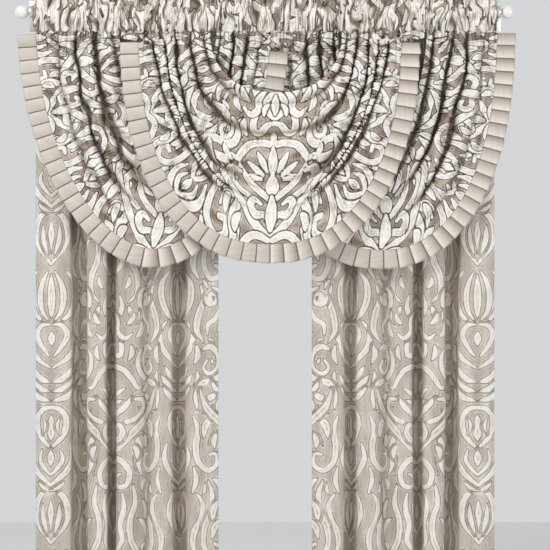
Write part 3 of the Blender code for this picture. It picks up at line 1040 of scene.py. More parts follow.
@dataclass
class Swag:
    """One swag with the pleated trim round its edge.

    The fields come in groups: the grid and the hang of the smooth cloth, its folds, the gathers
    under the heading with their painted shade, the raised figure, the flat map, the fine creases,
    the painted shade in troughs and wrinkles, the neckline's hem, and the trim, with its painted
    pleat shade and the draws that keep its pleats uneven.
    """

    place: str
    lines: tuple[FoldLine, ...]
    left: SwagEnd
    right: SwagEnd
    seed: int
    figure_at_edge: float
    flat_size: Pair
    flat_area: float
    columns: int = 540
    rows: int = 142
    top_z: float = -0.0630
    rod_y: float = -0.150
    depth_ramp: float = 0.085
    relief_ramp: float = 0.050
    belly: float = 0.010
    side_share: float = 1.25
    ridge_gain: float = 1.35
    groove_gain: float = 1.80
    low_gain: float = 1.70
    ridge_power: float = 2.3
    trough_floor: float = 0.10
    trough_wall: float = 0.46
    flare_start: float = 0.62
    flare_end: float = 0.985
    flare_power: int = 3
    wander: float = 0.22
    wander_waves: Waves = Waves(1.0, 0.22, 0.25)
    wander_slant: float = 0.1
    gather_height: float = 0.0056
    gather_pitch: float = 0.014
    gather_waves: Waves = Waves(3.2, 0.07, 0.10)
    gather_fade: float = 0.045
    gather_rise: float = 0.014
    gather_least: float = 0.05
    # Painted shade in the folds between gathers.
    gather_shade: float = 0.8
    lift_rise: float = 0.022
    seam_back: float = 0.0016
    seam_width: float = 0.25
    pucker: float = 0.0046
    low_pucker: float = 0.40
    emboss: float = 0.0020
    figure_edge: float = 0.004
    figure_gain: float = 0.0011
    flat_until: float = 0.38
    flat_blend: float = 0.34
    round_gain: float = 1.30
    shirr_from: float = 0.20
    shirr_gain: float = 0.35
    wrinkles: Waves = Waves(1.0, 0.024, 0.090, 9)
    wrinkle_sharpness: float = 2.2
    wrinkle_patches: Waves = Waves(1.0, 0.16, 0.14)
    patch_share: float = 0.85
    # Painted shade in the wrinkles' hollows and the troughs, and how the edges and troughs calm the
    # puckers.
    wrinkle_shade: float = 0.50
    wrinkle_dark: float = 1.1
    low_wrinkle: float = 0.45
    edge_calm: float = 0.6
    shade_from: float = 0.06
    shade_span: float = 0.72
    low_shade: float = 0.82
    trough_calm: float = 0.85
    hem: tuple[float, ...] = (0.30, 0.16, 0.05)
    hem_gap: float = 0.0022
    hem_rise: float = 0.0004
    trim_width: float = 0.066
    trim_tuck: float = 0.006
    trim_behind: float = 0.0028
    behind_until: float = 0.2
    pleat_pitch: float = 0.0445
    pleat_under: float = 0.0085
    pleat_gap: float = 0.0021
    pleat_skew: float = 0.0030
    pleat_depth: float = 0.0021
    pleat_round: float = 0.0006
    # Painted shade on the trim's pleat faces: its mean here, and its slope across a face, set by
    # lit_fall and dim_fall below.
    pleat_shade: float = 0.42
    pleat_pinch: float = 0.55
    pinch_until: float = 0.5
    face_share: float = 0.4
    under_rise: float = 0.35
    lit_fall: float = 0.30
    dim_fall: float = 1.45
    tilt_draw: Pair = (-0.0011, 0.0011)
    longer_draw: Pair = (-0.0008, 0.0016)
    fall_draw: Pair = (0.55, 1.0)
    skew_draw: Pair = (0.2, 1.0)
    pleat_rows: int = 9
    trim_thickness: float = 0.0009
    angle_samples: int = 2401
    edge_samples: int = 4001

    def __post_init__(self) -> None:
        """Sets out the fold lines as a table and the angles of the columns."""
        self.table = np.array([(line.left_x, line.right_x, line.drop, line.squareness)
                               for line in self.lines])
        gains = (self.groove_gain, self.ridge_gain)
        self.reliefs = np.array([(line.side * gains[line.side > 0], line.low * self.low_gain)
                                 for line in self.lines])
        self.last = len(self.lines) - 1
        fine = np.linspace(0.0, math.pi, self.angle_samples)
        run = running(self.points(np.full_like(fine, self.last), fine, folded=False))
        even = np.linspace(0.0, run[-1], self.columns)
        self.angles = np.interp(even, run, fine)

    def fall(self, place: Grid, angle: Grid) -> tuple[Grid, Grid]:
        """Where the cloth hangs, seen from the room.

        Args:
            place: Fractional number of the fold line, from the neckline out.
            angle: 0 at its left end to pi at its right end.

        Returns:
            x, and the distance below the heading.
        """
        left, right, drop, power = np.moveaxis(through(self.table, place), -1, 0)
        side, down = np.cos(angle), np.sin(angle)
        reach = (np.abs(side) ** power + np.abs(down) ** power) ** (-1.0 / power)
        return (left + right) / 2 - (right - left) / 2 * side * reach, drop * down * reach

    def depth(self, x: Grid, drop: Grid) -> Grid:
        """The y of the smooth cloth, without its folds.

        Args:
            x: Places along the rod.
            drop: Distances below the heading.

        Returns:
            The y at each place.
        """
        edge = self.lines[-1]
        share = (x - edge.left_x) / (edge.right_x - edge.left_x)
        plane = between(self.left.plane, self.right.plane, ease(share))
        swell = np.sin(math.pi * ease(share)) * ease(drop / edge.drop)
        ramp = ease(drop / self.depth_ramp)
        return between(self.rod_y, plane, ramp) - self.belly * swell

    def relief(self, place: Grid, angle: Grid) -> Grid:
        """How far the folds stand forward: broad ridges and wide, steep-sided troughs.

        Args:
            place: Number of the fold line.
            angle: 0 at its left end to pi at its right end.

        Returns:
            Metres forward, below 0 in a trough.
        """
        row = np.clip(np.floor(place).astype(int), 0, self.last - 1)
        part = np.clip(place - row, 0.0, 1.0)[..., None]
        start, end = self.reliefs[row], self.reliefs[row + 1]
        deep, high = np.minimum(start, end), np.maximum(start, end)
        climb = np.where(start < end, part, 1.0 - part)
        round_side = 1.0 - (1.0 - climb) ** self.ridge_power
        steep_side = ease((climb - self.trough_floor) / self.trough_wall)
        low = between(deep, high, round_side)[..., 1]
        side = between(deep, high, steep_side)[..., 0]
        return between(low, side, ease(np.abs(np.cos(angle)) * self.side_share))

    def flare(self, place: Grid, angle: Grid, drop: Grid) -> Grid:
        """How far the cloth beside the trim's top reaches out to the heading's end.

        Args:
            place: Number of the fold line.
            angle: 0 at its left end to pi at its right end.
            drop: Distances below the heading.

        Returns:
            Metres along x.
        """
        on_left = angle < math.pi / 2
        trim_top = np.where(on_left, self.left.trim_top, self.right.trim_top)
        reach = np.where(on_left, -self.left.flare, self.right.flare)
        fade = (drop / trim_top - self.flare_start) / (self.flare_end - self.flare_start)
        return reach * (place / self.last) ** self.flare_power * (1.0 - ease(fade))

    def points(self, place: Grid, angle: Grid, folded: bool = True) -> Grid:
        """Points of the cloth.

        Args:
            place: Number of the fold line.
            angle: 0 at its left end to pi at its right end.
            folded: Whether the folds stand forward and back.

        Returns:
            The points, with x, y and z last.
        """
        x, drop = self.fall(place, angle)
        y = self.depth(x, drop)
        if folded:
            height = self.relief(self.wandered(place, angle), angle)
            y = y - height * ease(drop / self.relief_ramp)
            y = y - self.gather_height * self.gathers(x, drop)
            y = y + self.seam_back * (1.0 - ease(drop / self.gather_rise))
        x = x + self.flare(place, angle, drop)
        return together(x, y, self.top_z - drop)

    def gathers(self, x: Grid, drop: Grid) -> Grid:
        """The small gathers under the heading, -1 in a fold to 1 on a puff, 0 further down.

        Args:
            x: Places along the rod.
            drop: Distances below the heading.

        Returns:
            The height, as a share.
        """
        turns = np.sin(2 * math.pi * x / self.gather_pitch
                       + self.gather_waves.at(self.seed + 1, x, drop))
        rise = ease(drop / self.gather_rise + self.gather_least)
        return turns * rise * np.exp(-drop / self.gather_fade)

    def wandered(self, place: Grid, angle: Grid) -> Grid:
        """Fold line numbers moved a little, so that ridges and troughs aren't even.

        Args:
            place: Number of the fold line.
            angle: 0 at its left end to pi at its right end.

        Returns:
            The moved numbers.
        """
        x, drop = self.fall(place, angle)
        inner = np.sqrt(np.sin(math.pi * np.clip(place / self.last, 0, 1)))
        waves = self.wander_waves.at(self.seed, drop + x, place * self.wander_slant)
        return np.clip(place + self.wander * inner * waves, 0, self.last)

    def flat_map(self, points: Grid, place: Grid) -> tuple[Grid, Grid]:
        """Flat cloth coordinates, true to scale on every ridge.

        At the bottom the cloth lies flat and is read row by row. At the sides each trough hides
        cloth that the bottom shows, so each ridge is read from its own line and shirred.

        Args:
            points: The cloth's points in rows and columns.
            place: The fold line number of each row.

        Returns:
            Distance along each line from the axis and across the lines, as one grid, and a
            grid that is 1 on the cloth and falls to 0 where two ridges' readings meet.
        """
        along = distances(points, 1)
        middle = int(np.argmin(np.abs(self.angles - math.pi / 2)))
        along = along - along[:, middle:middle + 1]
        axis = distances(points, 0)[:, middle]
        angle, line_number = np.meshgrid(self.angles, place)
        wandered = self.wandered(line_number, angle)
        last_ridge = 2 * ((self.last - 1) // 2)
        owner = np.clip(2 * np.rint(wandered / 2), 0, last_ridge)
        ridged = np.empty((*along.shape, 2))
        for ridge in range(0, last_ridge + 1, 2):
            home = int(np.argmin(np.abs(place - ridge)))
            rows, columns = np.nonzero(owner == ridge)
            line, spots = points[home, :, ::2], points[rows, columns, ::2]
            apart = np.sum(line ** 2, axis=1)[None, :] - 2 * spots @ line.T
            nearest = np.argmin(apart, axis=1)
            tangent = np.gradient(line, axis=0)
            tangent = (tangent / np.linalg.norm(tangent, axis=1, keepdims=True))[nearest]
            gap = spots - line[nearest]
            slide = np.sum(gap * tangent, axis=1)
            offset = np.linalg.norm(gap - slide[:, None] * tangent, axis=1)
            ridged[rows, columns, 0] = along[home, nearest] + slide
            ridged[rows, columns, 1] = axis[home] + self.round_gain * offset * np.sign(
                place[rows] - ridge)
        level = together(along, axis[:, None])
        aside = ease((np.abs(np.cos(self.angles)) - self.flat_until) / self.flat_blend)
        flat = between(level, ridged, aside[None, :, None])
        shirred = np.maximum(np.abs(flat[..., 0]) - self.shirr_from, 0.0)
        flat[..., 0] += np.sign(flat[..., 0]) * self.shirr_gain * shirred ** 2 / (
            shirred + self.shirr_from)
        seam = ease((1.0 - np.abs(wandered - owner)) / self.seam_width)
        seam = np.where(owner == last_ridge, 1.0, seam)
        return flat, between(1.0, seam, aside[None, :])

    def build_cloth(self, tile: OrnamentTile, material: Material) -> Object:
        """The swag's cloth.

        Args:
            tile: The woven figure.
            material: The finish.

        Returns:
            The piece, riding.
        """
        place = np.linspace(0.0, self.last, self.rows)
        angle, line = np.meshgrid(self.angles, place)
        points = self.points(line, angle)
        flat, seam = self.flat_map(points, place)
        down = self.figure_at_edge - (flat[-1, self.columns // 2, 1] - flat[:, :, 1])
        figure = tile.sample(tile.half_width + flat[:, :, 0], down) + self.figure_gain
        side = ease(np.abs(np.cos(self.angles)) * self.side_share)[None, :]
        inner = (ease(place / self.edge_calm)[:, None]
                 * ease((self.last - place) / self.edge_calm)[:, None])
        drop = self.top_z - points[..., 2]
        wave = self.creases(flat)
        # trough is how deep the cloth lies in a fold; it calms the puckers and is painted shade
        # there.
        trough = self.trough(line, angle) * between(self.low_shade, 1.0, side)
        lift = (self.pucker * between(self.low_pucker, 1.0, side) * inner * wave
                * (1.0 - self.trough_calm * trough))
        lift = (lift + self.emboss * ease(figure / self.figure_edge + 0.5)) * seam
        lift = lift * ease(drop / self.lift_rise)
        # Painted shade in the fine wrinkles' hollows and in the folds between gathers, kept where
        # the trough shade is less.
        hollow_shade = (ease(-wave * self.wrinkle_dark) * self.wrinkle_shade
                  * between(self.low_wrinkle, 1.0, side))
        gathers = self.gather_shade * ease(-self.gathers(points[..., 0], drop))
        shade = np.maximum(trough, np.maximum(hollow_shade * inner * (1.0 - trough), gathers))
        points = points + normals_of(points) * lift[..., None]
        sheet = self.hemmed(place, points, flat, figure / MILLIMETRE, shade)
        piece = sheet.build(f"swag_{self.place}_cloth", material, f"swag_{self.place}",
                            "swag_cloth")
        return piece

    def creases(self, flat: Grid) -> Grid:
        """The fine creases, in patches.

        Args:
            flat: Flat cloth coordinates.

        Returns:
            1 on the crests and below 0 in the creases.
        """
        along, across = flat[:, :, 0], flat[:, :, 1]
        wave = self.wrinkles.at(self.seed + 2, along, across)
        patch = self.wrinkle_patches.at(self.seed + 3, along, across)
        return (1.0 - self.wrinkle_sharpness * np.abs(wave)) * ease(patch + self.patch_share)

    def trough(self, place: Grid, angle: Grid) -> Grid:
        """How deep in a trough the cloth lies.

        Args:
            place: Number of the fold line.
            angle: 0 at its left end to pi at its right end.

        Returns:
            0 outside the troughs to 1 at the bottom of the deepest.
        """
        height = self.relief(self.wandered(place, angle), angle)
        depth = np.abs(self.reliefs[:, 0].min())
        return ease((-height / depth - self.shade_from) / self.shade_span)

    def hemmed(self, place: Grid, points: Grid, flat: Grid,
               figure: Grid, shade: Grid) -> SheetGrid:
        """The sheet with the hem of its neckline turned back behind it.

        Args:
            place: The fold line number of each row.
            points: The cloth's points in rows and columns.
            flat: Flat cloth coordinates.
            figure: Distance inside the figure, in millimetres.
            shade: Painted shade, 0 in the light to 1 in the deepest shade.

        Returns:
            The sheet, from the hem's inner edge to the outer edge of the cloth.
        """
        rows = [int(np.argmin(np.abs(place - mark))) for mark in self.hem]
        back = points[rows] + (0.0, self.hem_gap, 0.0)
        turn = points[:1] + (0.0, self.hem_gap / 2, self.hem_rise)
        order = rows + [0]
        return SheetGrid(
            np.concatenate((back, turn, points)),
            np.concatenate((flat[order], flat)),
            {"figure": np.concatenate((figure[order], figure)),
             "crease": np.concatenate((shade[order], shade))},
            face_back=True)

    def edge_frame(self, distance: Grid) -> tuple[Grid, Grid, float]:
        """Places on the cloth's outer edge.

        Args:
            distance: Distances along the edge from where the trim starts.

        Returns:
            The points, the outward directions and the whole length of the trim.
        """
        angle = np.linspace(0.0, math.pi, self.edge_samples)
        edge = self.points(np.full_like(angle, self.last), angle, folded=False)
        drop = self.top_z - edge[:, 2]
        top = np.where(angle < math.pi / 2, self.left.trim_top, self.right.trim_top)
        edge = edge[drop >= top]
        run = running(edge)
        spots = np.stack([np.interp(distance, run, edge[:, axis]) for axis in range(3)], axis=-1)
        tangent = np.gradient(edge, axis=0)
        tangent /= np.linalg.norm(tangent[:, ::2], axis=1, keepdims=True)
        out_x = np.interp(distance, run, tangent[:, 2])
        out_z = np.interp(distance, run, -tangent[:, 0])
        return spots, np.stack((out_x, np.zeros_like(out_x), out_z), axis=-1), run[-1]

    def pleat_profile(self) -> list[PleatPoint]:
        """One box pleat, whose face lies in front and whose sides fold under to the next ones.

        Returns:
            Its points along the strip, with back in metres.
        """
        gap, under, full = self.pleat_gap, self.pleat_under, 2 * self.pleat_depth
        half = [PleatPoint(*row) for row in (
            (0.0, 0.0, 1.00, 1.0), (0.0, gap, 1.00, 0.9), (0.0, 1.6 * gap, 1.00, 0.0),
            (0.0, under, 0.80, 0.0), (0.0, under + self.pleat_round, 0.62, 0.0),
            (0.0, under, 0.52, 0.0), (0.0, 0.5 * under, 0.46, 0.0),
            (0.0, 1.4 * gap, 0.42, 0.9), (0.0, 0.9 * gap, 0.24, 0.9),
            (0.0, 1.3 * gap, 0.08, 0.0), (0.12, 0.0, 0.0, 0.0), (0.5, 0.0, -0.12, 0.0))]
        mirrored = [PleatPoint(1.0 - point.share, -point.beyond, point.back, point.slit_shade)
                    for point in reversed(half[1:-1])]
        return [point._replace(back=point.back * full) for point in half + mirrored]

    def build_trim(self, material: Material) -> Object:
        """The strip of box pleats round the edge.

        Args:
            material: The finish.

        Returns:
            The piece, riding.
        """
        length = self.edge_frame(np.zeros(1))[2]
        pleats = round(length / self.pleat_pitch)
        pitch = length / pleats
        draw = np.random.default_rng(self.seed + 20)
        # The last list gathers each point's painted shade, for the finish.
        stations, backs, steps, folds = [], [], [], []
        profile = self.pleat_profile()
        for pleat in range(pleats):
            tilt = draw.uniform(*self.tilt_draw)
            longer = draw.uniform(*self.longer_draw)
            lit = 2 * pleat < pleats
            fall = draw.uniform(*self.fall_draw) * (self.lit_fall if lit else self.dim_fall)
            skew = self.pleat_skew * draw.uniform(*self.skew_draw) * (1 if lit else -1)
            for share, beyond, back, slit_shade in profile:
                # Painted shade on the face: darker towards one end, much more on the dim half; the
                # gaps between pleats keep their own darker painted shade.
                face = self.pleat_shade + fall * (share - 0.5)
                shade = slit_shade if slit_shade > 0.0 else min(max(0.0, face), 1.0)
                on_face = back < self.face_share * self.pleat_depth
                reach = longer + skew * (share - 0.5) * 2 if on_face else 0.0
                stations.append((pleat + share) * pitch + beyond)
                backs.append(back + tilt * (share - 0.5) * 2)
                steps.append(reach - back * self.under_rise)
                folds.append(shade)
        stations = np.clip(np.array(stations), 0.0, length)
        backs, steps, folds = np.array(backs), np.array(steps), np.array(folds)
        spots, outward, _ = self.edge_frame(stations)
        down = np.linspace(0.0, 1.0, self.pleat_rows)
        rows = []
        for share in down:
            reach = between(-self.trim_tuck, self.trim_width + steps, share)
            lean = between(self.trim_behind, 0.0, ease(share / self.behind_until))
            spread = between(self.pleat_pinch, 1.0, ease(share / self.pinch_until))
            row = spots + outward * np.atleast_1d(reach)[:, None]
            row[:, 1] += lean + backs * spread
            rows.append(row)
        points = np.array(rows)
        chart = distances(points, 1)
        flat = np.stack((chart, np.broadcast_to(down[:, None] * self.trim_width, chart.shape)),
                        axis=2)
        crease = np.broadcast_to(folds, chart.shape)
        sheet = SheetGrid(points, flat, {"crease": crease}, face_back=True)
        piece = sheet.build(f"trim_{self.place}_pleats", material, f"trim_{self.place}",
                            "trim_cloth")
        solid = piece.modifiers.new("cloth thickness", "SOLIDIFY")
        solid.thickness = self.trim_thickness
        solid.offset = 0.0
        return piece


@dataclass
class Heading:
    """A gathered rod pocket with a ruffle above it.

    Small gathers and broad folds run up it side by side. calm_left and calm_right are lengths at
    its ends with slack gathers, and the cloth hangs lower between the folds at its lower edge.
    """

    name: str
    left_x: float
    right_x: float
    seed: int
    calm_left: float = 0.0
    calm_right: float = 0.0
    rod_y: float = -0.150
    end_gap: float = 0.0005
    column_width: float = 0.00145
    section_rows: int = 24
    gather_pitch: float = 0.0105
    gather_waves: Waves = Waves(1.1, 0.060, 0.16)
    gather_power: float = 0.8
    gather_share: float = 0.45
    gather_strength: float = 0.75
    gather_shade: Pair = (0.0006, 0.0028)
    fold_pitch: float = 0.031
    fold_waves: Waves = Waves(0.55, 0.10, 0.11)
    fold_power: float = 0.6
    fold_shade: Pair = (0.0016, 0.0070)
    fold_slips: Waves = Waves(0.022, 0.07, 1.0)
    fold_stair: float = 0.24
    bulge: float = 0.95
    bulge_waves: Waves = Waves(0.30, 0.03, 0.12)
    calm_from: float = 0.3
    calm_least: float = 0.22
    calm_shade: float = 0.35
    calm_shade_from: float = 0.375
    ruffle_share: float = 0.8
    ruffle_waves: Waves = Waves(0.5, 0.035, 0.3)
    dip: float = 0.0035
    dip_from: float = 0.040
    dip_span: float = 0.02
    dip_waves: Waves = Waves(0.5, 0.03, 1.0)
    end_waves: Waves = Waves(0.0022, 0.016, 0.15)
    hang: float = 0.0100
    hang_rise: float = 0.018
    hang_least: float = 0.1
    hang_waves: Waves = Waves(0.4, 0.03, 1.0)
    # Painted shade in the folds between gathers: how it varies, its mean, width and least strength.
    shade_waves: Waves = Waves(0.65, 0.9, 0.085)
    shade_scatter: float = 7.0
    shade_mean: float = 0.66
    shade_width: float = 1.35
    shade_least: float = 0.15
    figure_down: float = 0.300
    figure_gain: float = 0.0042
    ruffle_top: float = 0.0620
    upper_stitch: float = 0.0222
    lower_stitch: float = -0.0612
    fullness: float = 1.6

    def section(self) -> Grid:
        """The pocket's front from the lower stitching up: height, half depth, gather, wave.

        Returns:
            A row for each height.
        """
        return np.array((
            (self.lower_stitch, 0.0024, 0.0030, 0.0000),
            (-0.0560, 0.0045, 0.0058, 0.0000),
            (-0.0430, 0.0100, 0.0102, 0.0000),
            (-0.0260, 0.0142, 0.0118, 0.0000),
            (-0.0080, 0.0140, 0.0112, 0.0000),
            (0.0080, 0.0122, 0.0090, 0.0000),
            (0.0170, 0.0060, 0.0056, 0.0004),
            (self.upper_stitch, 0.0022, 0.0022, 0.0012),
            (0.0290, 0.0022, 0.0024, 0.0034),
            (0.0400, 0.0024, 0.0008, 0.0052),
            (0.0520, 0.0022, 0.0006, 0.0060),
            (self.ruffle_top, 0.0008, 0.0003, 0.0064),
        ))

    def dark_line(self, turns: Grid, pitch: float, lean: Grid, widths: Pair, seed: int) -> Grid:
        """The painted shade in the fold between two gathers.

        Args:
            turns: Gathers counted along the rod, whole in a fold.
            pitch: Width of a gather.
            lean: Height, mirrored behind the rod.
            widths: Least and greatest half width of the shade.
            seed: Starts the draw of its strength.

        Returns:
            0 in the light to 1 in the deepest painted shade.
        """
        line = np.rint(turns)
        waves = self.shade_waves.at(self.seed + seed, line * pitch * self.shade_scatter, lean)
        power = ease(self.shade_mean + waves)
        reach = between(*widths, power)
        shade = ease(self.shade_width - np.abs(turns - line) * pitch / reach)
        return shade * between(self.shade_least, 1.0, power)

    def calm(self, x: Grid, left: float, right: float) -> Grid:
        """How full the gathers are along the rod.

        Args:
            x: Places along the rod.
            left: The heading's left end.
            right: The heading's right end.

        Returns:
            calm_least at a calm end to 1 in full gathers.
        """
        full = np.ones_like(x)
        for inward, length in ((x - left, self.calm_left), (right - x, self.calm_right)):
            start, span = length * self.calm_from, length * (1.0 - self.calm_from)
            full = full * ease((inward - start) / max(span, WELD))
        return between(self.calm_least, 1.0, full)

    def build(self, tile: OrnamentTile, material: Material) -> Object:
        """The heading as one closed loop of cloth round the rod.

        Args:
            tile: The woven figure.
            material: The finish.

        Returns:
            The piece, riding.
        """
        left, right = self.left_x + self.end_gap, self.right_x - self.end_gap
        columns = max(8, round((right - left) / self.column_width))
        section = self.section()
        up = through(section, np.linspace(0, len(section) - 1, self.section_rows))
        ring = np.vstack((up, up[::-1]))
        sides = np.repeat((-1.0, 1.0), len(up))[:, None]
        x = np.linspace(left, right, columns)[None, :]
        height, half, gather, wave = (ring[:, column][:, None] for column in range(4))
        lean = height * sides
        calm = self.calm(x, left, right)
        phase = x / self.gather_pitch + self.gather_waves.at(self.seed, x, lean)
        broad = x / self.fold_pitch + self.fold_waves.at(self.seed + 1, x, lean)
        small = np.abs(np.sin(math.pi * phase)) ** self.gather_power
        large = np.abs(np.sin(math.pi * broad)) ** self.fold_power
        swell = small * self.gather_share + large * (1.0 - self.gather_share)
        size = self.bulge + self.bulge_waves.at(self.seed + 2, x, lean)
        sway = wave * (np.sin(math.pi * phase) * self.ruffle_share
                       + self.ruffle_waves.at(self.seed + 3, x, height)) * calm
        level = self.end_waves.at(self.seed + 5, lean, x) * (1 - calm)
        y = self.rod_y + sides * (half + gather * swell * size * calm) + sway + sides * level
        dip = ease((height - self.dip_from) / self.dip_span) * self.dip * (
            0.5 + self.dip_waves.at(self.seed + 4, x, 0.0)) * calm
        hang = self.hang * ease((self.lower_stitch + self.hang_rise - height) / self.hang_rise) * (
            np.sin(math.pi * broad) ** 2 - self.hang_least
            + self.hang_waves.at(self.seed + 6, x, 0.0))
        points = together(x, y, height - dip - hang)
        fold = np.rint(broad)
        stair = fold + ease((broad - fold) / self.fold_stair + 0.5) - 0.5
        run = x + stair * self.fold_pitch * (self.fullness - 1.0)
        tall = running(ring[:, :2])
        down = np.append(tall, tall[-1] + 2 * ring[0, 1])[:, None]
        slip = self.fold_slips.at(self.seed + 7, fold * self.fold_pitch, 0.0)
        # Painted shade in the folds between broad folds and between small gathers, lighter where
        # the gathers are slack.
        crease = np.maximum(
            self.dark_line(broad, self.fold_pitch, lean, self.fold_shade, 8),
            self.gather_strength * self.dark_line(phase, self.gather_pitch, lean,
                                                  self.gather_shade, 9))
        lit = (calm - self.calm_shade_from) / (1.0 - self.calm_shade_from)
        crease = crease * between(self.calm_shade, 1.0, ease(lit))
        points, run, slip, crease = (np.concatenate((grid, grid[:1]))
                                     for grid in (points, run, slip, crease))
        flat = together(run, down)
        figure = tile.sample(tile.half_width + flat[..., 0],
                             self.figure_down + slip - flat[..., 1]) + self.figure_gain
        sheet = SheetGrid(points, flat, {"figure": figure / MILLIMETRE, "crease": crease},
                          closed=True)
        piece = sheet.build(f"{self.name}_cloth", material, self.name, "swag_cloth")
        return piece


@dataclass(frozen=True)
class PanelFold:
    """A place across a curtain: x, how far it stands forward, how far it drifts to the foot."""

    x: float
    forward: float
    drift: float


PANEL_FOLDS = tuple(PanelFold(*row) for row in (
    (-0.8050, 0.004, 0.000),
    (-0.7760, 0.016, 0.000),
    (-0.7200, 0.018, 0.000),
    (-0.6850, 0.010, 0.002),
    (-0.6760, -0.022, 0.004),
    (-0.6380, -0.026, 0.004),
    (-0.6250, 0.008, 0.003),
    (-0.5900, 0.020, 0.002),
    (-0.5600, 0.010, 0.000),
    (-0.5500, -0.022, -0.002),
    (-0.5240, -0.026, -0.002),
    (-0.5160, 0.012, 0.000),
    (-0.4850, 0.021, 0.001),
    (-0.4560, 0.009, 0.002),
    (-0.4250, -0.014, 0.004),
    (-0.3960, 0.006, 0.004),
    (-0.3620, 0.019, 0.004),
    (-0.3330, 0.008, 0.006),
    (-0.3220, -0.022, 0.008),
    (-0.2900, -0.020, 0.010),
    (-0.2760, 0.010, 0.007),
    (-0.2430, 0.018, 0.004),
    (-0.2090, 0.006, 0.001),
    (-0.1640, 0.003, 0.000),
))


@dataclass
class Panel:
    """A long curtain on the back rod, folded over it to a stitched pocket."""

    side: Side
    seed: int
    columns: int = 222
    curve_samples: int = 1600
    rod_y: float = -0.065
    rod_z: float = -0.006
    foot_z: float = -2.100
    stitch_z: float = -0.056
    full_below: float = 0.320
    stitch_folds: float = 0.14
    stitch_forward: float = 0.004
    stitch_blend: float = 0.150
    sway_waves: Waves = Waves(0.0045, 0.28, 1.1, 5)
    sway_below: float = 0.3
    edge_calm: float = 0.06
    swell_waves: Waves = Waves(0.12, 0.30, 0.80, 5)
    soft_waves: Waves = Waves(0.0009, 0.05, 0.09, 9)
    soft_below: float = 0.2
    fine_from: float = -0.520
    fine_row: float = 0.0064
    coarse_row: float = 0.0120
    stitch_row: float = 0.004
    tuck_depth: float = 0.0022
    tuck_pitch: float = 0.02565
    tuck_fade: float = 0.035
    pocket_radius: float = 0.0136
    pocket_front: tuple[float, ...] = (0.35, 0.7)
    pocket_turns: int = 11
    pocket_back: tuple[float, ...] = (0.3, 0.65, 1.0)
    pocket_ease: float = 0.0012
    pocket_swell: float = 0.4
    pocket_tail: float = 0.0010
    tail_swell: float = 0.3
    tail_rise: float = 0.006
    pocket_step: float = 0.006
    axis_in: float = 0.060
    bulb_z: float = -0.689
    figure_lift: float = 0.0005
    figure_edge: float = 0.002
    figure_gain: float = -0.0024
    # Painted shade in the folds' troughs: where it starts, how fast it deepens, and how far below
    # the stitching it fades in.
    shade_from: float = 0.004
    shade_span: float = 0.028
    shade_below: float = 0.25
    hem_width: float = 0.070
    hem_line: float = 0.006
    hem_sink: float = 0.0012
    turn_gap: float = 0.0022
    turn_columns: int = 4
    hidden: float = 0.026
    trough_width: float = 0.024
    troughs: tuple[float, ...] = (-0.657, -0.537, -0.425, -0.306)
    flat_size: Pair = (0.98, 2.18)

    def unfolded(self, cloth: Grid, x: Grid) -> Grid:
        """Distance across the flat cloth, with what the depth of each trough hides."""
        spread = sum(ease((x - trough) / self.trough_width + 0.5) for trough in self.troughs)
        return cloth + self.hidden * spread

    def heights(self) -> Grid:
        """The rows' heights up from the foot to the stitching."""
        fine = np.arange(self.foot_z, self.fine_from, self.fine_row)
        coarse = np.arange(self.fine_from, self.stitch_z - self.stitch_row, self.coarse_row)
        return np.concatenate((fine, coarse, (self.stitch_z,)))

    def hung(self, cloth: Grid, folds: Grid, z: Grid, tucks: Grid) -> Grid:
        """The front of the curtain, from its foot to the stitching.

        Args:
            cloth: Distances across the folded cloth, as one row.
            folds: A row each of places, of how far they stand forward and of how far they drift.
            z: Heights, as one column.
            tucks: Small gathers at the pocket, as one row.

        Returns:
            The points in rows and columns.
        """
        x, forward, drift = folds[:, None, :]
        below = self.stitch_z - z
        down = ease(below / (self.stitch_z - self.foot_z))
        full = between(self.stitch_folds, 1.0, ease(below / self.full_below))
        sway = self.sway_waves.at(self.seed, x, z) * ease(below / self.sway_below)
        sway = sway * ease((x - x.min()) / self.edge_calm) * ease((x.max() - x) / self.edge_calm)
        swell = 1.0 + self.swell_waves.at(self.seed + 1, x, z)
        lean = -self.stitch_forward * (1.0 - ease(below / self.stitch_blend))
        y = self.rod_y + lean - forward * full * swell
        y = y - tucks * np.exp(-below / self.tuck_fade)
        y = y + self.soft_waves.at(self.seed + 2, cloth, z) * ease(below / self.soft_below)
        hem = ease(1.0 - np.abs(z - self.foot_z - self.hem_width) / self.hem_line)
        y = y + self.hem_sink * hem
        return together(x + drift * down + sway, y, z)

    def build(self, tile: OrnamentTile, material: Material) -> Object:
        """The curtain.

        Args:
            tile: The woven figure.
            material: The finish.

        Returns:
            The piece, riding.
        """
        table = np.array([(fold.x, fold.forward, fold.drift) for fold in PANEL_FOLDS])
        dense = through(table, np.linspace(0.0, len(table) - 1, self.curve_samples))
        run = running(dense[:, :2])
        cloth = np.linspace(0.0, run[-1], self.columns)
        folds = np.array([np.interp(cloth, run, dense[:, axis]) for axis in range(3)])
        open_width = self.unfolded(cloth, folds[0])
        z = self.heights()[:, None]
        below = self.stitch_z - z
        tucks = self.tuck_depth * np.sin(2 * math.pi * cloth / self.tuck_pitch)
        points = self.hung(cloth[None, :], folds, z, tucks[None, :])
        across = np.broadcast_to(open_width - self.axis_in, points.shape[:2])
        figure = tile.sample(across, np.broadcast_to(self.bulb_z - z, across.shape))
        figure = figure + self.figure_gain
        lift = self.figure_lift * ease(figure / self.figure_edge + 0.5)
        lift = lift * ease(below / self.soft_below)
        points = points + normals_of(points) * lift[..., None]
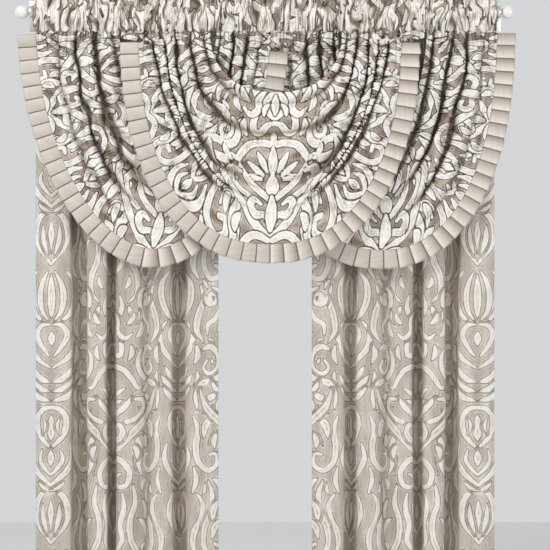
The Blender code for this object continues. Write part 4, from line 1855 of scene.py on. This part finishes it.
        # Painted shade in the troughs of the folds, fading in below the stitching.
        shade = ease((self.shade_from - folds[1]) / self.shade_span)[None, :]
        shade = shade * ease(below / self.shade_below)
        pocket = self.pocket(points[-1], tucks + self.tuck_depth)
        tall = z[-1] - self.foot_z + np.arange(1, len(pocket) + 1) * self.pocket_step
        upper_down = self.bulb_z - self.foot_z - tall[:, None]
        upper = tile.sample(*np.broadcast_arrays(across[:1], upper_down)) + self.figure_gain
        rise = np.concatenate((z[:, 0] - self.foot_z, tall))
        flat = together(open_width[None, :], rise[:, None])
        points, flat, figure, shade = (self.with_hems(grid) for grid in (
            np.concatenate((points, pocket)), flat, np.concatenate((figure, upper)),
            np.concatenate((shade, np.zeros(upper.shape)))))
        points[:, :2, 1] += self.turn_gap
        points[:, -2:, 1] += self.turn_gap
        if self.side is Side.RIGHT:
            points[..., 0] *= -1
        sheet = SheetGrid(points, flat, {"figure": figure / MILLIMETRE, "crease": shade},
                          face_back=self.side is Side.RIGHT)
        name = f"panel_{self.side.name.lower()}"
        piece = sheet.build(f"{name}_cloth", material, name, "panel_cloth")
        return piece

    def pocket(self, stitched: Grid, fullness: Grid) -> Grid:
        """The rows that go up over the rod and down behind it.

        Args:
            stitched: The front row at the stitching.
            fullness: How far the small gathers along it stand out.

        Returns:
            Rows of points that follow it.
        """
        swell, tail_swell = self.pocket_swell * fullness, self.tail_swell * fullness
        front = self.rod_y - self.pocket_radius - self.pocket_ease
        back, tail = self.rod_y + self.pocket_radius, self.rod_y + self.pocket_tail
        places = [(between(stitched[:, 1], front, share) - swell,
                   between(self.stitch_z, self.rod_z, share)) for share in self.pocket_front]
        radius = self.pocket_radius + swell
        places += [(self.rod_y - radius * math.cos(turn), self.rod_z + radius * math.sin(turn))
                   for turn in np.linspace(0.0, math.pi, self.pocket_turns)]
        places += [(between(back, tail, ease(share)) + tail_swell,
                    between(self.rod_z, self.stitch_z + self.tail_rise, share))
                   for share in self.pocket_back]
        return np.array([together(stitched[:, 0], y, z)
                         for y, z in places])

    def with_hems(self, grid: Grid) -> Grid:
        """The grid with two more columns at each side, which turn back behind it."""
        turn = self.turn_columns
        return np.concatenate((grid[:, turn:turn + 1], grid[:, :1], grid, grid[:, -1:],
                               grid[:, -turn - 1:-turn]), axis=1)


@dataclass
class Hardware:
    """Rods, ball finials and brackets.

    finishes holds the material of each of the record's slots.
    """

    finishes: dict[str, Material]
    front_y: float = -0.150
    front_radius: float = 0.0125
    back_y: float = -0.065
    back_z: float = -0.006
    back_radius: float = 0.011
    half_length: float = 0.8192
    wall: float = 0.0012
    ball_radius: float = 0.0248
    ball_x: float = 0.8462
    neck_radius: float = 0.009
    seat_gap: float = 0.0003
    bracket_x: float = 0.8132
    bracket_width: float = 0.012
    ring_radius: float = 0.0225
    back_ring_radius: float = 0.019
    bore_play: float = 0.0006
    arm_size: Pair = (0.0096, 0.016)
    plate_size: Triple = (0.040, 0.008, 0.110)
    plate_soft: float = 0.0016
    arm_soft: float = 0.0012
    arm_sink: float = 0.0015
    ring_soft: float = 0.0012
    rod_soft: float = 0.0006
    bead_length: float = 0.0016
    bead_rise: float = 0.0014
    neck_play: float = 0.0002
    ball_steps: int = 28
    bevel_steps: int = 3
    screw_z: float = 0.036
    screw_radius: float = 0.0046
    screw_dome: float = 0.42
    screw_cuts: tuple[int, int] = (24, 16)
    sides: int = 56
    turned_sharp: float = 35.0
    block_sharp: float = 60.0
    screw_sharp: float = 50.0

    def turned(self, name: str, profile: list[Pair], centre: Vector, direction: float = 1.0,
               node: str | None = None, slot: str = "rod") -> Object:
        """A piece turned round a line along X.

        Args:
            name: Name of the piece.
            profile: (distance along the line, radius) from end to end.
            centre: Where distance 0 lies.
            direction: 1 to run along +X, -1 along -X.
            node: The plain solid it stands for.
            slot: The record's slot for its finish.

        Returns:
            The piece, riding.
        """
        shape = bmesh.new()
        verts = [shape.verts.new((along * direction, 0.0, radius)) for along, radius in profile]
        edges = [shape.edges.new(pair) for pair in zip(verts, verts[1:])]
        bmesh.ops.spin(shape, geom=verts + edges, cent=(0, 0, 0), axis=(1, 0, 0),
                       angle=2 * math.pi, steps=self.sides, use_merge=True)
        bmesh.ops.remove_doubles(shape, verts=shape.verts, dist=WELD)
        bmesh.ops.recalc_face_normals(shape, faces=shape.faces)
        bmesh.ops.translate(shape, vec=centre, verts=shape.verts)
        return self.place(shape, name, self.turned_sharp, node, slot)

    def place(self, shape: bmesh.types.BMesh, name: str, sharp: float,
              node: str | None = None, slot: str = "rod") -> Object:
        """Turns a shape into a finished piece.

        Args:
            shape: The modelled shape, freed here.
            name: Name of the piece.
            sharp: Edges that turn by more degrees than this stay sharp.
            node: The plain solid it stands for.
            slot: The record's slot for its finish.

        Returns:
            The piece, riding.
        """
        mesh = bpy.data.meshes.new(name)
        shape.to_mesh(mesh)
        shape.free()
        mesh.materials.append(self.finishes[slot])
        mesh.shade_smooth()
        mesh.set_sharp_from_angle(angle=math.radians(sharp))
        piece = placed(name, mesh)
        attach(piece, BODY)
        if node:
            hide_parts(node)
        return piece

    def rod(self, name: str, y: float, z: float, radius: float) -> Object:
        """A steel tube with its ends turned in.

        Args:
            name: The node.
            y: Its y.
            z: Its height.
            radius: Its outer radius.

        Returns:
            The piece, riding.
        """
        half, inner, soft = self.half_length, radius - self.wall, self.rod_soft
        profile = [(-half, inner), (-half, radius - soft), (-half + soft, radius),
                   (half - soft, radius), (half, radius - soft), (half, inner), (-half, inner)]
        return self.turned(f"{name}_tube", profile, Vector((0.0, y, z)), node=name)

    def finial(self, side: Side) -> Object:
        """A ball with a bead and a neck that meets the rod's end.

        Args:
            side: The end of the rods.

        Returns:
            The piece, riding.
        """
        start = self.half_length + self.seat_gap - self.ball_x
        profile = [(start, 0.0), (start, self.neck_radius),
                   (start + self.bead_length, self.neck_radius + self.bead_rise)]
        open_angle = math.asin((self.neck_radius + self.neck_play) / self.ball_radius)
        for step in range(self.ball_steps + 1):
            turn = between(math.pi - open_angle, 0.0, step / self.ball_steps)
            profile.append((self.ball_radius * math.cos(turn), self.ball_radius * math.sin(turn)))
        profile[-1] = (self.ball_radius, 0.0)
        name = f"finial_{side.name.lower()}"
        centre = Vector((side.value * self.ball_x, self.front_y, 0.0))
        return self.turned(f"{name}_ball", profile, centre, float(side.value), name, "ball")

    def block(self, name: str, size: Triple, centre: Vector, soft: float,
              node: str | None = None) -> Object:
        """A plate or bar with softened edges.

        Args:
            name: Name of the piece.
            size: Its size.
            centre: Its centre.
            soft: Width of its bevels.
            node: The plain solid it stands for.

        Returns:
            The piece, riding.
        """
        shape = bmesh.new()
        bmesh.ops.create_cube(shape, size=1.0)
        bmesh.ops.scale(shape, vec=size, verts=shape.verts)
        bmesh.ops.bevel(shape, geom=shape.edges[:], offset=soft, offset_type="OFFSET",
                        segments=self.bevel_steps, profile=0.5, affect="EDGES", material=-1)
        bmesh.ops.translate(shape, vec=centre, verts=shape.verts)
        return self.place(shape, name, self.block_sharp, node)

    def ring(self, name: str, radius: float, bore: float, centre: Vector) -> Object:
        """A bracket's ring round a rod.

        Args:
            name: Name of the piece.
            radius: Its outer radius.
            bore: Its inner radius.
            centre: Its centre.

        Returns:
            The piece, riding.
        """
        half, soft = self.bracket_width / 2, self.ring_soft
        profile = [(-half, bore), (-half, radius - soft), (-half + soft * 0.4, radius - soft * 0.3),
                   (-half + soft, radius), (half - soft, radius),
                   (half - soft * 0.4, radius - soft * 0.3), (half, radius - soft), (half, bore),
                   (-half, bore)]
        return self.turned(name, profile, centre)

    def bracket(self, side: Side) -> list[Object]:
        """A wall plate with two screws, and an arm to a ring round each rod.

        Args:
            side: The end of the rods.

        Returns:
            The pieces.
        """
        name = f"bracket_{side.name.lower()}"
        x = side.value * self.bracket_x
        wide, tall = self.arm_size
        plate_face = -self.plate_size[1]
        arms = (("back", plate_face, self.back_y + self.back_ring_radius - self.arm_sink),
                ("front", self.back_y - self.back_ring_radius + self.arm_sink,
                 self.front_y + self.ring_radius - self.arm_sink))
        rings = (("front", self.ring_radius, self.front_radius, self.front_y, 0.0),
                 ("back", self.back_ring_radius, self.back_radius, self.back_y, self.back_z))
        pieces = [self.block(f"{name}_plate", self.plate_size, Vector((x, plate_face / 2, 0.0)),
                             self.plate_soft, name)]
        for end, start_y, end_y in arms:
            pieces.append(self.block(f"{name}_arm_{end}", (wide, start_y - end_y, tall),
                                     Vector((x, (start_y + end_y) / 2, 0.0)), self.arm_soft))
        for end, radius, bore, y, z in rings:
            pieces.append(self.ring(f"{name}_ring_{end}", radius, bore + self.bore_play,
                                    Vector((x, y, z))))
        for end, level in (("lower", -self.screw_z), ("upper", self.screw_z)):
            pieces.append(self.screw(f"{name}_screw_{end}", x, level))
        return pieces

    def screw(self, name: str, x: float, z: float) -> Object:
        """A plain domed screw head on the plate's face.

        Args:
            name: Name of the piece.
            x: Its x.
            z: Its height.

        Returns:
            The piece, riding.
        """
        shape = bmesh.new()
        around, up = self.screw_cuts
        bmesh.ops.create_uvsphere(shape, u_segments=around, v_segments=up,
                                  radius=self.screw_radius)
        bmesh.ops.scale(shape, vec=(1.0, self.screw_dome, 1.0), verts=shape.verts)
        bmesh.ops.bisect_plane(shape, geom=shape.verts[:] + shape.edges[:] + shape.faces[:],
                               plane_co=(0, 0, 0), plane_no=(0, 1, 0), clear_outer=True)
        bmesh.ops.translate(shape, vec=(x, -self.plate_size[1], z), verts=shape.verts)
        return self.place(shape, name, self.screw_sharp)


@dataclass(frozen=True)
class Lamp:
    """A soft square light: where it stands, what it faces, its width and its watts."""

    name: str
    place: Triple
    aim: Triple
    size: float
    power: float

    def build(self) -> None:
        """Puts the light in the scene."""
        light = bpy.data.lights.new(self.name, "AREA")
        light.size = self.size
        light.energy = self.power
        lamp = placed(self.name, light)
        lamp.location = self.place
        way = Vector(self.aim) - Vector(self.place)
        lamp.rotation_euler = way.to_track_quat("-Z", "Y").to_euler()


@dataclass
class Studio:
    """Camera, floor and light."""

    centre_x: float = 0.0348
    centre_z: float = -0.915
    distance: float = 9.0
    view_width: float = 1.914
    view_y: float = -0.150
    sensor: float = 36.0
    floor_z: float = -2.130
    floor_size: float = 7.0
    floor_colour: Triple = (0.78, 0.77, 0.76)
    floor_roughness: float = 0.7
    sky: Triple = (0.80, 0.815, 0.835)
    sky_strength: float = 0.82
    lamps: tuple[Lamp, ...] = (
        Lamp("key", (-2.9, -3.2, 1.9), (0.0, -0.1, -0.80), 1.6, 114.0),
        Lamp("fill", (3.4, -4.2, -0.2), (0.2, -0.1, -0.7), 2.6, 78.0),
    )

    def build(self) -> None:
        """Sets up the view and the lights."""
        self.camera()
        self.floor()
        self.world()
        for lamp in self.lamps:
            lamp.build()
        bpy.context.scene.view_settings.view_transform = "Standard"

    def camera(self) -> None:
        """The photograph's view, square on to the window."""
        lens = bpy.data.cameras.new("view")
        lens.sensor_width = self.sensor
        lens.lens = self.sensor * (self.distance + self.view_y) / self.view_width
        camera = placed("view", lens)
        camera.location = (self.centre_x, -self.distance, self.centre_z)
        camera.rotation_euler = (math.pi / 2, 0.0, 0.0)
        bpy.context.scene.camera = camera

    def floor(self) -> None:
        """A plain pale floor under the curtains."""
        shape = bmesh.new()
        bmesh.ops.create_grid(shape, x_segments=1, y_segments=1, size=self.floor_size / 2)
        bmesh.ops.translate(shape, vec=(0.0, 0.0, self.floor_z), verts=shape.verts)
        mesh = bpy.data.meshes.new("floor")
        shape.to_mesh(mesh)
        shape.free()
        nodes = NodeSheet("pale floor")
        nodes.shader.inputs["Base Color"].default_value = (*self.floor_colour, 1.0)
        nodes.shader.inputs["Roughness"].default_value = self.floor_roughness
        mesh.materials.append(nodes.material)
        floor = placed("floor", mesh)

    def world(self) -> None:
        """Even pale light from all round."""
        world = bpy.data.worlds.new("studio")
        world.use_nodes = True
        back = world.node_tree.nodes["Background"]
        back.inputs["Color"].default_value = (*self.sky, 1.0)
        back.inputs["Strength"].default_value = self.sky_strength
        bpy.context.scene.world = world


# The swags, headings and curtains are one cloth. The swag copy's whiter figure and near-black edge
# lines and fold tints are partly painted light and shade, for the stronger light and deeper shade
# on the swags; the curtain copy is lower in contrast.
SWAG_CLOTH = FiguredCloth(
    name="ivory and greige swag cloth",
    ground=(0.56, 0.485, 0.405), figure=(0.97, 0.95, 0.915), outline_and_shade=(0.10, 0.078, 0.060),
    echo=(0.78, 0.72, 0.64), rib=(0.74, 0.69, 0.62), hollow_shade=(0.66, 0.60, 0.54),
    groove_shade=(0.23, 0.19, 0.16), crinkle_shade=0.38, strie=0.24)
PANEL_CLOTH = FiguredCloth(
    name="ivory and greige curtain cloth",
    ground=(0.635, 0.580, 0.520), figure=(0.88, 0.845, 0.79), outline_and_shade=(0.36, 0.315, 0.27),
    echo=(0.80, 0.76, 0.69), rib=(0.60, 0.545, 0.48), hollow_shade=(0.80, 0.77, 0.73),
    groove_shade=(0.56, 0.52, 0.47),
    figure_roughness=0.52, ground_roughness=0.62, crinkle_shade=0.12, strie=0.65, sheen=0.35,
    sheen_scale=(24.0, 4.0, 1.0), emboss=0.8)
TRIM_CLOTH = SatinCloth(name="champagne satin", face=(0.77, 0.715, 0.655),
                        shade=(0.67, 0.615, 0.555))
PEARL = HardFinish(name="pearl lacquer", light=(0.80, 0.765, 0.73), dark=(0.70, 0.665, 0.63),
                   roughness=0.22, metallic=0.0, coat=0.6, grain=(60.0, 60.0, 60.0),
                   relief=0.0002)
NICKEL = HardFinish(name="brushed nickel", light=(0.74, 0.73, 0.71), dark=(0.60, 0.59, 0.57),
                    roughness=0.28, metallic=1.0, coat=0.0, grain=(14.0, 700.0, 700.0),
                    relief=0.0001)


def build_swags(tile: OrnamentTile) -> list[Object]:
    """The three swags with their trims.

    Args:
        tile: The woven figure.

    Returns:
        The pieces.
    """
    cloth, satin = SWAG_CLOTH.material(), TRIM_CLOTH.material()
    swags = (
        Swag("left", LEFT_LINES, SwagEnd(-0.130, 0.014, 0.0), SwagEnd(-0.139, 0.070, 0.027),
             seed=11, figure_at_edge=0.864, flat_size=(2.00, 0.66), flat_area=0.60),
        Swag("right", RIGHT_LINES, SwagEnd(-0.114, 0.070, -0.047), SwagEnd(-0.130, 0.008, 0.0),
             seed=31, figure_at_edge=0.864, flat_size=(2.05, 0.60), flat_area=0.60),
        Swag("centre", CENTRE_LINES, SwagEnd(-0.173, 0.041, 0.062),
             SwagEnd(-0.173, 0.041, 0.082), seed=57, figure_at_edge=0.900,
             ridge_gain=1.70, groove_gain=1.45, flat_size=(2.12, 0.66), flat_area=0.70),
    )
    return [piece for swag in swags
            for piece in (swag.build_cloth(tile, cloth), swag.build_trim(satin))]


def build_headings(tile: OrnamentTile) -> list[Object]:
    """The six gathered rod pockets, in turn along the front rod.

    Args:
        tile: The woven figure.

    Returns:
        The pieces.
    """
    cloth = bpy.data.materials[SWAG_CLOTH.name]
    end = 0.8060
    headings = (
        Heading("heading_left_outer", -end, -0.501, seed=101, calm_left=0.050),
        Heading("heading_centre_left", -0.501, -0.174, seed=112),
        Heading("heading_left_inner", -0.174, 0.045, seed=123),
        Heading("heading_right_inner", 0.045, 0.261, seed=134),
        Heading("heading_centre_right", 0.261, 0.557, seed=145),
        Heading("heading_right_outer", 0.557, end, seed=156),
    )
    return [heading.build(tile, cloth) for heading in headings]


def build_panels(tile: OrnamentTile) -> list[Object]:
    """The two curtains."""
    cloth = PANEL_CLOTH.material()
    return [Panel(side, seed).build(tile, cloth)
            for side, seed in ((Side.LEFT, 201), (Side.RIGHT, 214))]


def build_hardware() -> list[Object]:
    """The rods, finials and brackets.

    Returns:
        The pieces.
    """
    hardware = Hardware({"rod": NICKEL.material(), "ball": PEARL.material()})
    pieces = [
        hardware.rod("rod_front", hardware.front_y, 0.0, hardware.front_radius),
        hardware.rod("rod_back", hardware.back_y, hardware.back_z, hardware.back_radius),
    ]
    for side in Side:
        pieces += [hardware.finial(side), *hardware.bracket(side)]
    return pieces


def main() -> None:
    """Builds every piece round the fixed frame and reports it."""
    logging.basicConfig(level=logging.INFO, format="%(message)s")
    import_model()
    tile = OrnamentTile()
    for piece in (*build_swags(tile), *build_headings(tile), *build_panels(tile),
                  *build_hardware()):
        LOG.info("%s: %d faces", piece.name, len(piece.data.polygons))
    Studio().build()


if __name__ == "__main__":
    main()
